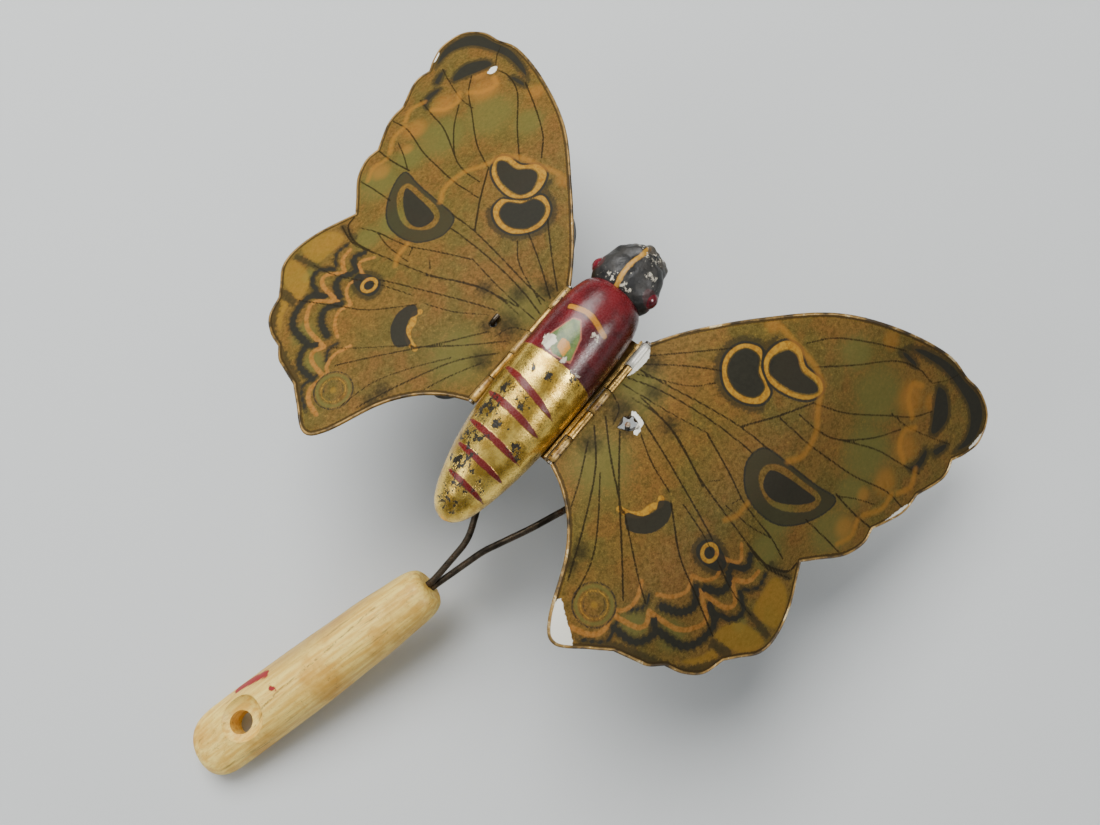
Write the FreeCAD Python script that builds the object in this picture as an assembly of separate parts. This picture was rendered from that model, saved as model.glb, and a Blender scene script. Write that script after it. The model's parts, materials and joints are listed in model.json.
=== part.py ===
"""Wing-flapping butterfly push toy: a moulded body on a tin saddle, two hinged tin wings,
two wheels on a cranked axle that works the wings through wire links, and a forked wire
with a wooden handle.  All sizes are in millimetres.

The toy is modelled about its hinge plane (X towards the head, Y to the left, Z up, zero
midway between the two wing hinges).  Before export everything is moved so that the origin
is the bottom centre of the whole toy's box.
"""
import FreeCAD, Part
import math
import os

V = FreeCAD.Vector
X_AXIS = V(1, 0, 0)
Y_AXIS = V(0, 1, 0)
Z_AXIS = V(0, 0, 1)

# ---- driving dimensions ---------------------------------------------------------------
# wings: places on a wing are (s, t), s forward along the hinge and t outward along the sheet
HINGE_Y = 18.0            # each hinge axis from the middle of the toy
WING_SHEET = 0.8          # tin thickness
WING_FLAP = 9.0           # degrees that both wings stand up from level at the hinge
WING_CURL = {1: 30.0, -1: 50.0}   # degrees that each sheet bends down; the right one is bent more
CURL_LENGTH = 72.0        # the sheet is curved out to here and flat beyond
WING_SPACE = (-90.0, 120.0)       # stretch of X that holds a whole wing
SHEET_END = 160.0         # t past the wing tip
LINK_HOLE = (-0.7, 12.9)
LINK_HOLE_R = 1.9
TORN_HOLE = [(-4.0, 10.6), (-2.8, 14.2), (-0.8, 16.2), (2.2, 15.4), (3.0, 12.4), (0.8, 9.8)]

# hinges
KNUCKLE_R = 1.7
PIN_R = 0.85
PIN_PLAY = 0.06
PIN_HEAD_R = 1.35
HINGE_HALF = 27.2
KNUCKLE_GAP = 0.4
BODY_KNUCKLES = [(-16.4, -5.4), (5.4, 16.4)]

# saddle and yoke
SADDLE_SHEET = 0.8
SADDLE_TOP = -5.0         # upper face of the saddle's floor
SADDLE_HALF_Y = 15.9
YOKE_SHEET = 1.2
YOKE_HALF_Y = 15.0
YOKE_TOP_X = (1.0, 27.0)
FOOT_X = (0.5, 8.5)

# axle, crank and wheels
AXLE_X = 22.5
AXLE_Z = -54.5
AXLE_R = 1.5
AXLE_PLAY = 0.05
CRANK_THROW = 3.0
CRANK_PIN_Y = (26.0, 34.0)
CHEEK = 2.0
WHEEL_R = 48.8
RIM_Y = (53.0, 58.0)
HUB_Y = (47.0, 60.0)
HUB_R = 5.5
FLANGE_R = 11.0
WEB = 1.4

# links
LINK_WIRE_R = 1.0
LOOP_HALF = (6.0, 8.8)    # half width and half height of the loop, on the wire's centre line
LOOP_DROP = 2.3           # the loop's middle hangs below the axle with the wings down

# fork and handle
FORK_WIRE_R = 1.4
FORK_EYE_Y = 43.0
HANDLE_FRONT = V(-87.7, 3.4, -70.8)
HANDLE_END = V(-202.4, 37.8, -96.6)
HANG_HOLE_AT = 98.0       # from the front of the handle
HANG_HOLE_R = 4.8
HANG_HOLE_LEAN = 15.0     # degrees that the upper mouth leans towards the front of the handle
HANG_DISH_R = 12.0        # round sinking about each mouth of the hanging hole
HANG_DISH_CENTRE = 18.0   # from the middle of the hole

AXLE_CENTRE = V(AXLE_X, 0, AXLE_Z)


# ---- helpers ---------------------------------------------------------------------------
def block(x0, x1, y0, y1, z0, z1):
    return Part.makeBox(x1 - x0, y1 - y0, z1 - z0, V(x0, y0, z0))


def rod(radius, start, end):
    return Part.makeCylinder(radius, (end - start).Length, start, end - start)


def tube(outer, inner, start, end):
    return rod(outer, start, end).cut(rod(inner, start, end))


def join(*shapes):
    body = shapes[0]
    for shape in shapes[1:]:
        body = body.fuse(shape)
    return body.removeSplitter()


def prism(points, direction):
    """Solid from a closed polygon of points, pushed along direction."""
    wire = Part.makePolygon(points + [points[0]])
    return Part.Face(wire).extrude(direction)


def sided(side, x, y, z):
    """A point on the left (side 1) or, mirrored, on the right (side -1)."""
    return V(x, side * y, z)


def bent_wire(points, radii, thickness):
    """Round wire along straight runs that are joined by tangent arcs."""
    edges = []
    start = points[0]
    for before, corner, after, radius in zip(points, points[1:], points[2:], radii):
        way_in = (corner - before).normalize()
        way_out = (after - corner).normalize()
        half_turn = way_in.getAngle(way_out) / 2
        reach = radius * math.tan(half_turn)
        arc_in = corner - way_in * reach
        arc_out = corner + way_out * reach
        inward = (way_out - way_in).normalize()
        middle = corner + inward * (radius / math.cos(half_turn) - radius)
        edges.append(Part.LineSegment(start, arc_in).toShape())
        edges.append(Part.Arc(arc_in, middle, arc_out).toShape())
        start = arc_out
    edges.append(Part.LineSegment(start, points[-1]).toShape())
    path = Part.Wire(edges)
    ring = Part.Wire(Part.Circle(points[0], points[1] - points[0], thickness).toShape())
    return path.makePipeShell([ring], True, True)


def oval_loft(sections, centre, along, wide, high):
    """Solid through ovals.  Each section is (distance, half width, half height, lift)."""
    circle = Part.Circle(V(0, 0, 0), Z_AXIS, 1.0).toShape()
    wires = []
    for distance, half_wide, half_high, lift in sections:
        middle = centre + along * distance + high * lift
        across, up = wide * half_wide, high * half_high
        stretch = FreeCAD.Matrix(across.x, up.x, along.x, middle.x,
                                 across.y, up.y, along.y, middle.y,
                                 across.z, up.z, along.z, middle.z)
        wires.append(Part.Wire(circle.transformGeometry(stretch)))
    return Part.makeLoft(wires, True, False)


# ---- wings -----------------------------------------------------------------------------
def sheet_point(side, t):
    """(y, z) of the sheet's mid surface, t out from the hinge axis, for the left hand."""
    start = math.radians(WING_FLAP)
    bend = math.radians(WING_CURL[side]) / CURL_LENGTH
    on_arc = min(t, CURL_LENGTH)
    y = (math.sin(start) - math.sin(start - bend * on_arc)) / bend
    z = (math.cos(start - bend * on_arc) - math.cos(start)) / bend
    last = start - bend * CURL_LENGTH
    beyond = max(t - CURL_LENGTH, 0.0)
    return HINGE_Y + y + beyond * math.cos(last), z + beyond * math.sin(last)


def sheet_slope(side, t):
    bend = WING_CURL[side] / CURL_LENGTH
    return math.radians(WING_FLAP - bend * min(t, CURL_LENGTH))


def plan(side, s, t):
    return V(s, sheet_point(side, t)[0], 0)


def wing_outline(side):
    """Closed wire of the wing's edge seen from above, left hand, hinge line included."""
    def spline(*places):
        curve = Part.BSplineCurve()
        curve.interpolate([plan(side, s, t) for s, t in places])
        return curve.toShape()

    def scallop(start, top, end):
        return Part.Arc(plan(side, *start), plan(side, *top), plan(side, *end)).toShape()

    edges = [
        # leading edge and the rounded tip
        spline((27.2, 0), (40, 9), (60, 26.6), (80, 47), (97, 73), (107.6, 97), (108.4, 111.5)),
        spline((108.4, 111.5), (110.2, 122), (106.6, 132.6), (97, 137), (89, 134.8), (82.2, 131)),
        # forewing margin
        scallop((82.2, 131), (72, 132.4), (60.8, 127)),
        scallop((60.8, 127), (49.5, 125.8), (37.2, 118.4)),
        spline((37.2, 118.4), (30.4, 119.2), (21.5, 115), (12.6, 105.5), (6.5, 99.1)),
        # hind wing margin
        spline((6.5, 99.1), (-8, 108), (-19.5, 111.6), (-28, 109.8), (-34.6, 102.6), (-39.1, 97.6)),
        spline((-39.1, 97.6), (-47.4, 93.8), (-52.2, 86.4), (-54.6, 77.5)),
        scallop((-54.6, 77.5), (-59.4, 68.6), (-62.3, 57.5)),
        # hind corner and trailing edge
        spline((-62.3, 57.5), (-67, 50), (-73.2, 39.8), (-68, 33.4), (-50, 25.4), (-39.4, 18),
               (-32, 9.2), (-27.2, 0)),
        Part.LineSegment(plan(side, -27.2, 0), plan(side, 27.2, 0)).toShape(),
    ]
    return Part.Wire(edges)


def wing_slab(side):
    """The curved sheet before trimming: its section pushed along the hinge."""
    def face_point(t, offset):
        y, z = sheet_point(side, t)
        slope = sheet_slope(side, t)
        return V(WING_SPACE[0], y - offset * math.sin(slope), z + offset * math.cos(slope))

    half = WING_SHEET / 2
    far = SHEET_END
    edges = [
        Part.Arc(face_point(0, half), face_point(CURL_LENGTH / 2, half),
                 face_point(CURL_LENGTH, half)).toShape(),
        Part.LineSegment(face_point(CURL_LENGTH, half), face_point(far, half)).toShape(),
        Part.LineSegment(face_point(far, half), face_point(far, -half)).toShape(),
        Part.LineSegment(face_point(far, -half), face_point(CURL_LENGTH, -half)).toShape(),
        Part.Arc(face_point(CURL_LENGTH, -half), face_point(CURL_LENGTH / 2, -half),
                 face_point(0, -half)).toShape(),
        Part.LineSegment(face_point(0, -half), face_point(0, half)).toShape(),
    ]
    return Part.Face(Part.Wire(edges)).extrude(V(WING_SPACE[1] - WING_SPACE[0], 0, 0))


def wing_knuckle_spans():
    """The stretches of the hinge between and beyond the saddle's knuckles."""
    spans = []
    start = -HINGE_HALF
    for low, high in BODY_KNUCKLES:
        spans.append((start, low - KNUCKLE_GAP))
        start = high + KNUCKLE_GAP
    spans.append((start, HINGE_HALF))
    return spans


def wing(side):
    """Built left handed; the right wing is mirrored at the end."""
    below, above = 110.0, 50.0
    outline = Part.Face(wing_outline(side))
    outline.translate(V(0, 0, -below))
    sheet = wing_slab(side).common(outline.extrude(V(0, 0, below + above)))
    clear = KNUCKLE_R + 0.6
    for low, high in BODY_KNUCKLES:
        gap = block(low - KNUCKLE_GAP, high + KNUCKLE_GAP, HINGE_Y - 3, HINGE_Y + clear, -4, 5)
        sheet = sheet.cut(gap)
    for end in (-1, 1):
        x0, x1 = sorted((end * (HINGE_HALF + 0.1), end * (HINGE_HALF + 5)))
        sheet = sheet.cut(block(x0, x1, HINGE_Y - 3, HINGE_Y + PIN_HEAD_R + 0.5, -4, 5))
    knuckles = []
    for low, high in wing_knuckle_spans():
        knuckles.append(rod(KNUCKLE_R, V(low, HINGE_Y, 0), V(high, HINGE_Y, 0)))
    sheet = join(sheet, *knuckles)
    bore = rod(PIN_R + PIN_PLAY, V(-60, HINGE_Y, 0), V(60, HINGE_Y, 0))
    sheet = sheet.cut(bore)
    if side == 1:
        centre = plan(side, *LINK_HOLE)
        hole = rod(LINK_HOLE_R, centre - V(0, 0, 10), centre + V(0, 0, 15))
    else:
        hole = prism([plan(side, s, t) - V(0, 0, 10) for s, t in TORN_HOLE], V(0, 0, 25))
    sheet = sheet.cut(hole)
    if side == -1:
        sheet = sheet.mirror(V(0, 0, 0), Y_AXIS)
    return sheet


# ---- wire links from the wings to the crank ---------------------------------------------
def link_place(side):
    """Where the link goes through the wing, left hand."""
    y, z = sheet_point(side, LINK_HOLE[1])
    return V(LINK_HOLE[0], y, z)


def link(side):
    """A hook or stub in the wing, a bent shank and a long loop that goes round the crank."""
    hole = link_place(side)
    half_wide, half_high = LOOP_HALF
    middle = V(AXLE_X, hole.y, AXLE_Z - LOOP_DROP)
    loop_top = middle + V(0, 0, half_high)
    knee = V(hole.x, hole.y, -9)
    if side == 1:
        top = hole + V(0, 0, WING_SHEET / 2 + 0.3 + LINK_WIRE_R)
        shank = bent_wire([top + V(3.4, 0, 0), top, knee, loop_top], [1.4, 8], LINK_WIRE_R)
    else:
        top = hole + V(0, 0, WING_SHEET / 2)
        shank = bent_wire([top, knee, loop_top], [8], LINK_WIRE_R)
    straight = half_high - half_wide
    high = middle + V(0, 0, straight)
    low = middle - V(0, 0, straight)
    edges = [
        Part.Arc(high + V(half_wide, 0, 0), high + V(0, 0, half_wide),
                 high - V(half_wide, 0, 0)).toShape(),
        Part.LineSegment(high - V(half_wide, 0, 0), low - V(half_wide, 0, 0)).toShape(),
        Part.Arc(low - V(half_wide, 0, 0), low - V(0, 0, half_wide),
                 low + V(half_wide, 0, 0)).toShape(),
        Part.LineSegment(low + V(half_wide, 0, 0), high + V(half_wide, 0, 0)).toShape(),
    ]
    ring = Part.Wire(Part.Circle(high + V(half_wide, 0, 0), Z_AXIS, LINK_WIRE_R).toShape())
    loop = Part.Wire(edges).makePipeShell([ring], True, True)
    shape = shank.fuse(loop)
    if side == -1:
        shape = shape.mirror(V(0, 0, 0), Y_AXIS)
    return shape


# ---- body, head and eyes ----------------------------------------------------------------
NECK_X = 32.0
DOWEL_R = 3.0
DOWEL_Z = 10.0
SCREW_X = (8.0, 21.0)
SCREW_R = 1.4
EYE_R = 3.4
EYE_PLACE = (37.0, 10.4, 11.6)


def neck_dowel():
    return rod(DOWEL_R, V(NECK_X - 11, 0, DOWEL_Z), V(NECK_X + 10, 0, DOWEL_Z))


def screw_shanks():
    return [rod(SCREW_R, V(x, 0, SADDLE_TOP - 2), V(x, 0, SADDLE_TOP + 9)) for x in SCREW_X]


def body_moulding():
    """Abdomen and thorax in one piece: distance along X, half width, half height, lift."""
    sections = [
        (-65.6, 1.4, 1.4, -5.2),
        (-64.2, 4.2, 4.0, -4.9),
        (-60.5, 7.2, 7.0, -4.2),
        (-53.0, 10.0, 9.8, -2.2),
        (-43.0, 12.4, 12.2, 0.2),
        (-30.0, 14.2, 14.0, 2.2),
        (-15.0, 14.9, 15.2, 4.0),
        (0.0, 15.0, 15.8, 5.6),
        (14.0, 14.8, 15.6, 6.8),
        (24.0, 13.6, 13.6, 7.8),
        (29.6, 11.4, 11.0, 8.6),
        (NECK_X, 9.0, 8.6, 9.2),
    ]
    shape = oval_loft(sections, V(0, 0, 0), X_AXIS, Y_AXIS, Z_AXIS)
    shape = shape.cut(block(-HINGE_HALF - 0.6, 60, -30, 30, -30, SADDLE_TOP))
    side_y = SADDLE_HALF_Y - SADDLE_SHEET - 0.1
    for side in (1, -1):
        y0, y1 = sorted((side * side_y, side * 30))
        shape = shape.cut(block(-HINGE_HALF - 0.6, 60, y0, y1, SADDLE_TOP - 1, 1.0))
    shape = shape.cut(neck_dowel())
    for shank in screw_shanks():
        shape = shape.cut(shank)
    return shape


def eyes():
    x, y, z = EYE_PLACE
    return {side: Part.makeSphere(EYE_R, V(x, side * y, z)) for side in (1, -1)}


def head():
    sections = [
        (NECK_X, 9.4, 8.4, 9.4),
        (35.5, 11.0, 9.3, 10.2),
        (40.0, 11.4, 9.4, 10.6),
        (45.0, 10.2, 8.6, 10.8),
        (49.5, 8.0, 7.2, 11.2),
        (53.0, 5.4, 5.4, 11.6),
        (55.0, 3.0, 3.4, 11.8),
    ]
    shape = oval_loft(sections, V(0, 0, 0), X_AXIS, Y_AXIS, Z_AXIS)
    shape = shape.cut(neck_dowel())
    for eye in eyes().values():
        shape = shape.cut(eye)
    return shape


# ---- saddle, yoke and crossbar ------------------------------------------------------------
def saddle():
    """Tin channel under the body, with a rolled knuckle strip along each side."""
    floor_low = SADDLE_TOP - SADDLE_SHEET
    inner = SADDLE_HALF_Y - SADDLE_SHEET
    parts = [block(-HINGE_HALF, HINGE_HALF, -SADDLE_HALF_Y, SADDLE_HALF_Y, floor_low, SADDLE_TOP)]
    bores = []
    for side in (1, -1):
        y0, y1 = sorted((side * inner, side * SADDLE_HALF_Y))
        parts.append(block(-HINGE_HALF, HINGE_HALF, y0, y1, floor_low, SADDLE_SHEET / 2))
        for low, high in BODY_KNUCKLES:
            y0, y1 = sorted((side * inner, side * HINGE_Y))
            parts.append(block(low, high, y0, y1, -SADDLE_SHEET / 2, SADDLE_SHEET / 2))
            axis_y = side * HINGE_Y
            parts.append(rod(KNUCKLE_R, V(low, axis_y, 0), V(high, axis_y, 0)))
            bores.append(rod(PIN_R, V(low - 1, axis_y, 0), V(high + 1, axis_y, 0)))
    shape = join(*parts)
    for cutter in bores + screw_shanks():
        shape = shape.cut(cutter)
    return shape


def hinge_pin(side):
    axis_y = side * HINGE_Y
    end = HINGE_HALF + 0.3
    pin = rod(PIN_R, V(-end, axis_y, 0), V(end, axis_y, 0))
    heads = [rod(PIN_HEAD_R, V(x, axis_y, 0), V(x + 0.7, axis_y, 0)) for x in (-end - 0.7, end)]
    return join(pin, *heads)


def body_screws():
    """Two round-headed screws up through yoke and saddle into the body."""
    solids = []
    under = SADDLE_TOP - SADDLE_SHEET - YOKE_SHEET
    for x in SCREW_X:
        shank = rod(SCREW_R, V(x, 0, under), V(x, 0, SADDLE_TOP + 9))
        dome = Part.makeSphere(2.9, V(x, 0, under)).common(block(x - 4, x + 4, -4, 4, under - 1.7, under))
        slot = block(x - 3, x + 3, -0.35, 0.35, under - 2.0, under - 1.0)
        solids.append(join(shank, dome).cut(slot))
    return Part.makeCompound(solids)


def yoke():
    """Strap bent down into two legs that carry the axle, each with a turned-in foot."""
    top = SADDLE_TOP - SADDLE_SHEET
    shape = block(YOKE_TOP_X[0], YOKE_TOP_X[1], -YOKE_HALF_Y, YOKE_HALF_Y, top - YOKE_SHEET, top)
    foot_low = CROSSBAR_TOP
    for side in (1, -1):
        y0, y1 = sorted((side * YOKE_HALF_Y, side * (YOKE_HALF_Y - YOKE_SHEET)))
        corners = [(YOKE_TOP_X[0], top), (YOKE_TOP_X[1], top), (28.8, AXLE_Z), (FOOT_X[1], foot_low),
                   (FOOT_X[0], foot_low)]
        leg = prism([V(x, y0, z) for x, z in corners], V(0, y1 - y0, 0))
        pad = rod(6.5, V(AXLE_X, y0, AXLE_Z), V(AXLE_X, y1, AXLE_Z))
        window = prism([V(x, y0 - 1, z) for x, z in ((8, -14), (20.5, -14), (20, -42), (11, -42))],
                       V(0, y1 - y0 + 2, 0))
        foot_y = sorted((side * YOKE_HALF_Y, side * (YOKE_HALF_Y - 9)))
        foot = block(FOOT_X[0], FOOT_X[1], foot_y[0], foot_y[1], foot_low, foot_low + YOKE_SHEET)
        shape = join(shape, leg.cut(window), pad, foot)
    shape = shape.cut(rod(AXLE_R + AXLE_PLAY, V(AXLE_X, -30, AXLE_Z), V(AXLE_X, 30, AXLE_Z)))
    for cutter in screw_shanks() + rivet_shanks():
        shape = shape.cut(cutter)
    return shape


CROSSBAR_TOP = -58.3
CROSSBAR_SHEET = 1.0
RIVET_R = 1.3
RIVET_Y = 9.8


def rivet_shanks():
    x = sum(FOOT_X) / 2
    low = CROSSBAR_TOP - CROSSBAR_SHEET
    high = CROSSBAR_TOP + YOKE_SHEET
    return [rod(RIVET_R, V(x, y, low), V(x, y, high)) for y in (RIVET_Y, -RIVET_Y)]


def crossbar_rivets():
    x = sum(FOOT_X) / 2
    low = CROSSBAR_TOP - CROSSBAR_SHEET
    high = CROSSBAR_TOP + YOKE_SHEET
    solids = []
    for shank, y in zip(rivet_shanks(), (RIVET_Y, -RIVET_Y)):
        under = Part.makeSphere(2.4, V(x, y, low)).common(block(x - 3, x + 3, y - 3, y + 3, low - 1.3, low))
        over = Part.makeSphere(2.4, V(x, y, high)).common(block(x - 3, x + 3, y - 3, y + 3, high, high + 1.3))
        solids.append(join(shank, under, over))
    return Part.makeCompound(solids)


# ---- fork wires and handle -----------------------------------------------------------------
HANDLE_ALONG = (HANDLE_END - HANDLE_FRONT).normalize()
HANDLE_WIDE = Z_AXIS.cross(HANDLE_ALONG).normalize()
HANDLE_HIGH = HANDLE_ALONG.cross(HANDLE_WIDE).normalize()
WIRE_PAIR = (HANDLE_WIDE * -0.75 + HANDLE_HIGH * 1.2)   # from the pair's middle to the left wire


def fork_points(side):
    """Route of one arm from its eye on the axle to its end inside the handle."""
    start = V(AXLE_X - 2.8, side * FORK_EYE_Y, AXLE_Z - 0.9)
    shift = WIRE_PAIR * side
    entry = HANDLE_FRONT + shift
    tail = HANDLE_FRONT + HANDLE_ALONG * 26 + shift
    if side == 1:
        bends = [V(-52, 6.6, -61.8), V(-63.5, 1.9, -64.2)]
    else:
        bends = [V(-44, -15.6, -61.8), V(-63, -5.6, -65.6)]
    return [start] + bends + [entry + (entry - tail) * 0.12, tail]


def fork_radii(side):
    return [26.0, 22.0, 20.0] if side == 1 else [60.0, 40.0, 20.0]


def fork_wire(side):
    arm = bent_wire(fork_points(side), fork_radii(side), FORK_WIRE_R)
    centre = V(AXLE_X, side * FORK_EYE_Y, AXLE_Z)
    ring_r = AXLE_R + AXLE_PLAY + FORK_WIRE_R
    eye = Part.makeTorus(ring_r, FORK_WIRE_R, centre, Y_AXIS)
    hole = rod(AXLE_R + AXLE_PLAY, centre - V(0, 4, 0), centre + V(0, 4, 0))
    return arm.fuse(eye).cut(hole)


def crossbar():
    """Strip under the yoke's feet whose ends are curled round the two fork arms."""
    x = sum(FOOT_X) / 2
    parts = []
    cutters = []
    ends = []
    for side in (1, -1):
        start, bend = fork_points(side)[:2]
        share = (start.x - x) / (start.x - bend.x)
        middle = start + (bend - start) * share
        along = (bend - start).normalize()
        parts.append(rod(FORK_WIRE_R + 1.05, middle - along * 4, middle + along * 4))
        cutters.append(rod(FORK_WIRE_R + 0.02, middle - along * 9, middle + along * 9))
        ends.append(middle.y)
    low = CROSSBAR_TOP - CROSSBAR_SHEET
    strip = block(FOOT_X[0], FOOT_X[1], ends[1], ends[0], low, CROSSBAR_TOP)
    shape = join(strip, *parts)
    for cutter in cutters + rivet_shanks():
        shape = shape.cut(cutter)
    return max(shape.Solids, key=lambda solid: solid.Volume)


def handle():
    """Turned grip, flattened towards the end with the hanging hole."""
    length = (HANDLE_END - HANDLE_FRONT).Length
    sections = [
        (0.0, 6.6, 6.6, 0.0),
        (1.6, 9.0, 9.0, 0.0),
        (6.0, 10.6, 10.6, 0.0),
        (20.0, 11.8, 11.8, 0.0),
        (45.0, 13.0, 13.0, 0.0),
        (70.0, 13.8, 13.4, 0.0),
        (88.0, 14.0, 12.2, 0.4),
        (100.0, 14.1, 10.4, 0.6),
        (112.0, 13.8, 8.4, 0.4),
        (length - 4.0, 11.6, 6.8, 0.2),
        (length - 1.0, 8.6, 5.0, 0.0),
        (length, 6.4, 3.6, 0.0),
    ]
    shape = oval_loft(sections, HANDLE_FRONT, HANDLE_ALONG, HANDLE_WIDE, HANDLE_HIGH)
    hole = HANDLE_FRONT + HANDLE_ALONG * HANG_HOLE_AT
    lean = math.radians(HANG_HOLE_LEAN)
    axis = HANDLE_HIGH * math.cos(lean) - HANDLE_ALONG * math.sin(lean)
    shape = shape.cut(rod(HANG_HOLE_R, hole - axis * 20, hole + axis * 20))
    for face in (1, -1):
        dish = hole + axis * (face * HANG_DISH_CENTRE)
        shape = shape.cut(Part.makeSphere(HANG_DISH_R, dish))
    for side in (1, -1):
        start, end = HANDLE_FRONT + WIRE_PAIR * side, fork_points(side)[-1]
        shape = shape.cut(rod(FORK_WIRE_R, start - HANDLE_ALONG * 4, end))
    return shape


# ---- crank axle and wheels ------------------------------------------------------------------
def crank_axle():
    """One wire: journals on the axis and two crank pins set off from it, both hanging down."""
    end_y = HUB_Y[1] + 2.0
    low, high = CRANK_PIN_Y
    shift = V(0, 0, -CRANK_THROW)
    parts = [rod(AXLE_R, V(AXLE_X, -low, AXLE_Z), V(AXLE_X, low, AXLE_Z))]
    for side in (1, -1):
        inner = V(AXLE_X, side * low, AXLE_Z)
        outer = V(AXLE_X, side * high, AXLE_Z)
        parts.append(rod(AXLE_R, inner + shift, outer + shift))
        parts.append(rod(AXLE_R, outer, V(AXLE_X, side * end_y, AXLE_Z)))
        for start in (low - CHEEK / 2, high - CHEEK / 2):
            y0, y1 = sorted((side * start, side * (start + CHEEK)))
            for z in (AXLE_Z, AXLE_Z - CRANK_THROW):
                parts.append(rod(AXLE_R, V(AXLE_X, y0, z), V(AXLE_X, y1, z)))
            parts.append(block(AXLE_X - AXLE_R, AXLE_X + AXLE_R, y0, y1, AXLE_Z - CRANK_THROW, AXLE_Z))
    return join(*parts)


def wheel_window():
    """One of the six openings of the wheel's disc, about the axle, as a flat face."""
    inner, outer, half_angle, corner = 16.0, 39.0, math.radians(20.0), 3.5

    def at(radius, angle):
        return V(radius * math.sin(angle), 0, radius * math.cos(angle))

    edges = [
        Part.Arc(at(inner, -half_angle), at(inner, 0), at(inner, half_angle)).toShape(),
        Part.LineSegment(at(inner, half_angle), at(outer, half_angle)).toShape(),
        Part.Arc(at(outer, half_angle), at(outer, 0), at(outer, -half_angle)).toShape(),
        Part.LineSegment(at(outer, -half_angle), at(inner, -half_angle)).toShape(),
    ]
    prism_shape = Part.Face(Part.Wire(edges)).extrude(V(0, 40, 0))
    upright = [e for e in prism_shape.Edges if abs(e.BoundBox.YLength - 40) < 0.01]
    return prism_shape.makeFillet(corner, upright)


def wheel(side):
    """Pressed disc wheel: deep rim flange with a rolled bead, dished web, six openings."""
    y0, y1 = RIM_Y
    mid = (y0 + y1) / 2
    section = [
        (HUB_R, mid - WEB / 2), (FLANGE_R + 1, mid - WEB / 2), (FLANGE_R + 4, mid - WEB / 2 - 1.4),
        (40.5, mid - WEB / 2 - 1.4), (43.5, mid - WEB / 2), (WHEEL_R - 1.6, mid - WEB / 2),
        (WHEEL_R - 1.6, y0 + 1.2), (WHEEL_R - 2.2, y0 + 1.2), (WHEEL_R - 2.2, y0), (WHEEL_R - 0.6, y0),
        (WHEEL_R, y0 + 0.6), (WHEEL_R, y1 - 0.6), (WHEEL_R - 0.6, y1), (WHEEL_R - 2.2, y1),
        (WHEEL_R - 2.2, y1 - 1.2), (WHEEL_R - 1.6, y1 - 1.2), (WHEEL_R - 1.6, mid + WEB / 2),
        (43.5, mid + WEB / 2), (40.5, mid + WEB / 2 - 1.4), (FLANGE_R + 4, mid + WEB / 2 - 1.4),
        (FLANGE_R + 1, mid + WEB / 2), (HUB_R, mid + WEB / 2),
    ]
    points = [V(AXLE_X, y, AXLE_Z + r) for r, y in section]
    shape = Part.Face(Part.makePolygon(points + [points[0]])).revolve(AXLE_CENTRE, Y_AXIS, 360)
    window = wheel_window()
    for number in range(6):
        cutter = window.copy()
        cutter.rotate(V(0, 0, 0), Y_AXIS, 60 * number + 30)
        cutter.translate(V(AXLE_X, y0 - 15, AXLE_Z))
        shape = shape.cut(cutter)
    for shank in hub_rivet_shanks(1):
        shape = shape.cut(shank)
    if side == -1:
        shape = shape.mirror(V(0, 0, 0), Y_AXIS)
    return shape


HUB_RIVET_R = 1.1
HUB_RIVET_PCD_R = 8.2


def hub_rivet_places():
    places = []
    for number in range(3):
        angle = math.radians(120 * number + 30)
        places.append((AXLE_X + HUB_RIVET_PCD_R * math.sin(angle), AXLE_Z + HUB_RIVET_PCD_R * math.cos(angle)))
    return places


def hub_rivet_shanks(side):
    mid = sum(RIM_Y) / 2
    low, high = mid - WEB / 2 - 1.0, mid + WEB / 2
    return [rod(HUB_RIVET_R, V(x, side * low, z), V(x, side * high, z)) for x, z in hub_rivet_places()]


def hub(side):
    """Spun bush with a flange against the inner face of the wheel's disc."""
    mid = sum(RIM_Y) / 2
    face = mid - WEB / 2
    barrel = rod(HUB_R, V(AXLE_X, HUB_Y[0], AXLE_Z), V(AXLE_X, HUB_Y[1], AXLE_Z))
    flange = rod(FLANGE_R, V(AXLE_X, face - 1.0, AXLE_Z), V(AXLE_X, face, AXLE_Z))
    shape = join(barrel, flange)
    shape = shape.cut(rod(AXLE_R, V(AXLE_X, HUB_Y[0] - 1, AXLE_Z), V(AXLE_X, HUB_Y[1] + 1, AXLE_Z)))
    for shank in hub_rivet_shanks(1):
        shape = shape.cut(shank)
    if side == -1:
        shape = shape.mirror(V(0, 0, 0), Y_AXIS)
    return shape


def hub_rivets(side):
    mid = sum(RIM_Y) / 2
    low, high = mid - WEB / 2 - 1.0, mid + WEB / 2
    solids = []
    for shank, (x, z) in zip(hub_rivet_shanks(1), hub_rivet_places()):
        inner = Part.makeSphere(1.9, V(x, low, z)).common(block(x - 3, x + 3, low - 1.1, low, z - 3, z + 3))
        outer = Part.makeSphere(1.9, V(x, high, z)).common(block(x - 3, x + 3, high, high + 1.1, z - 3, z + 3))
        solids.append(join(shank, inner, outer))
    shape = Part.makeCompound(solids)
    if side == -1:
        shape = shape.mirror(V(0, 0, 0), Y_AXIS)
    return shape


def axle_washers():
    rings = []
    for side in (1, -1):
        start = V(AXLE_X, side * (HUB_Y[0] - 1.2), AXLE_Z)
        end = V(AXLE_X, side * (HUB_Y[0] - 0.2), AXLE_Z)
        rings.append(tube(4.2, AXLE_R, start, end))
    return Part.makeCompound(rings)


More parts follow.
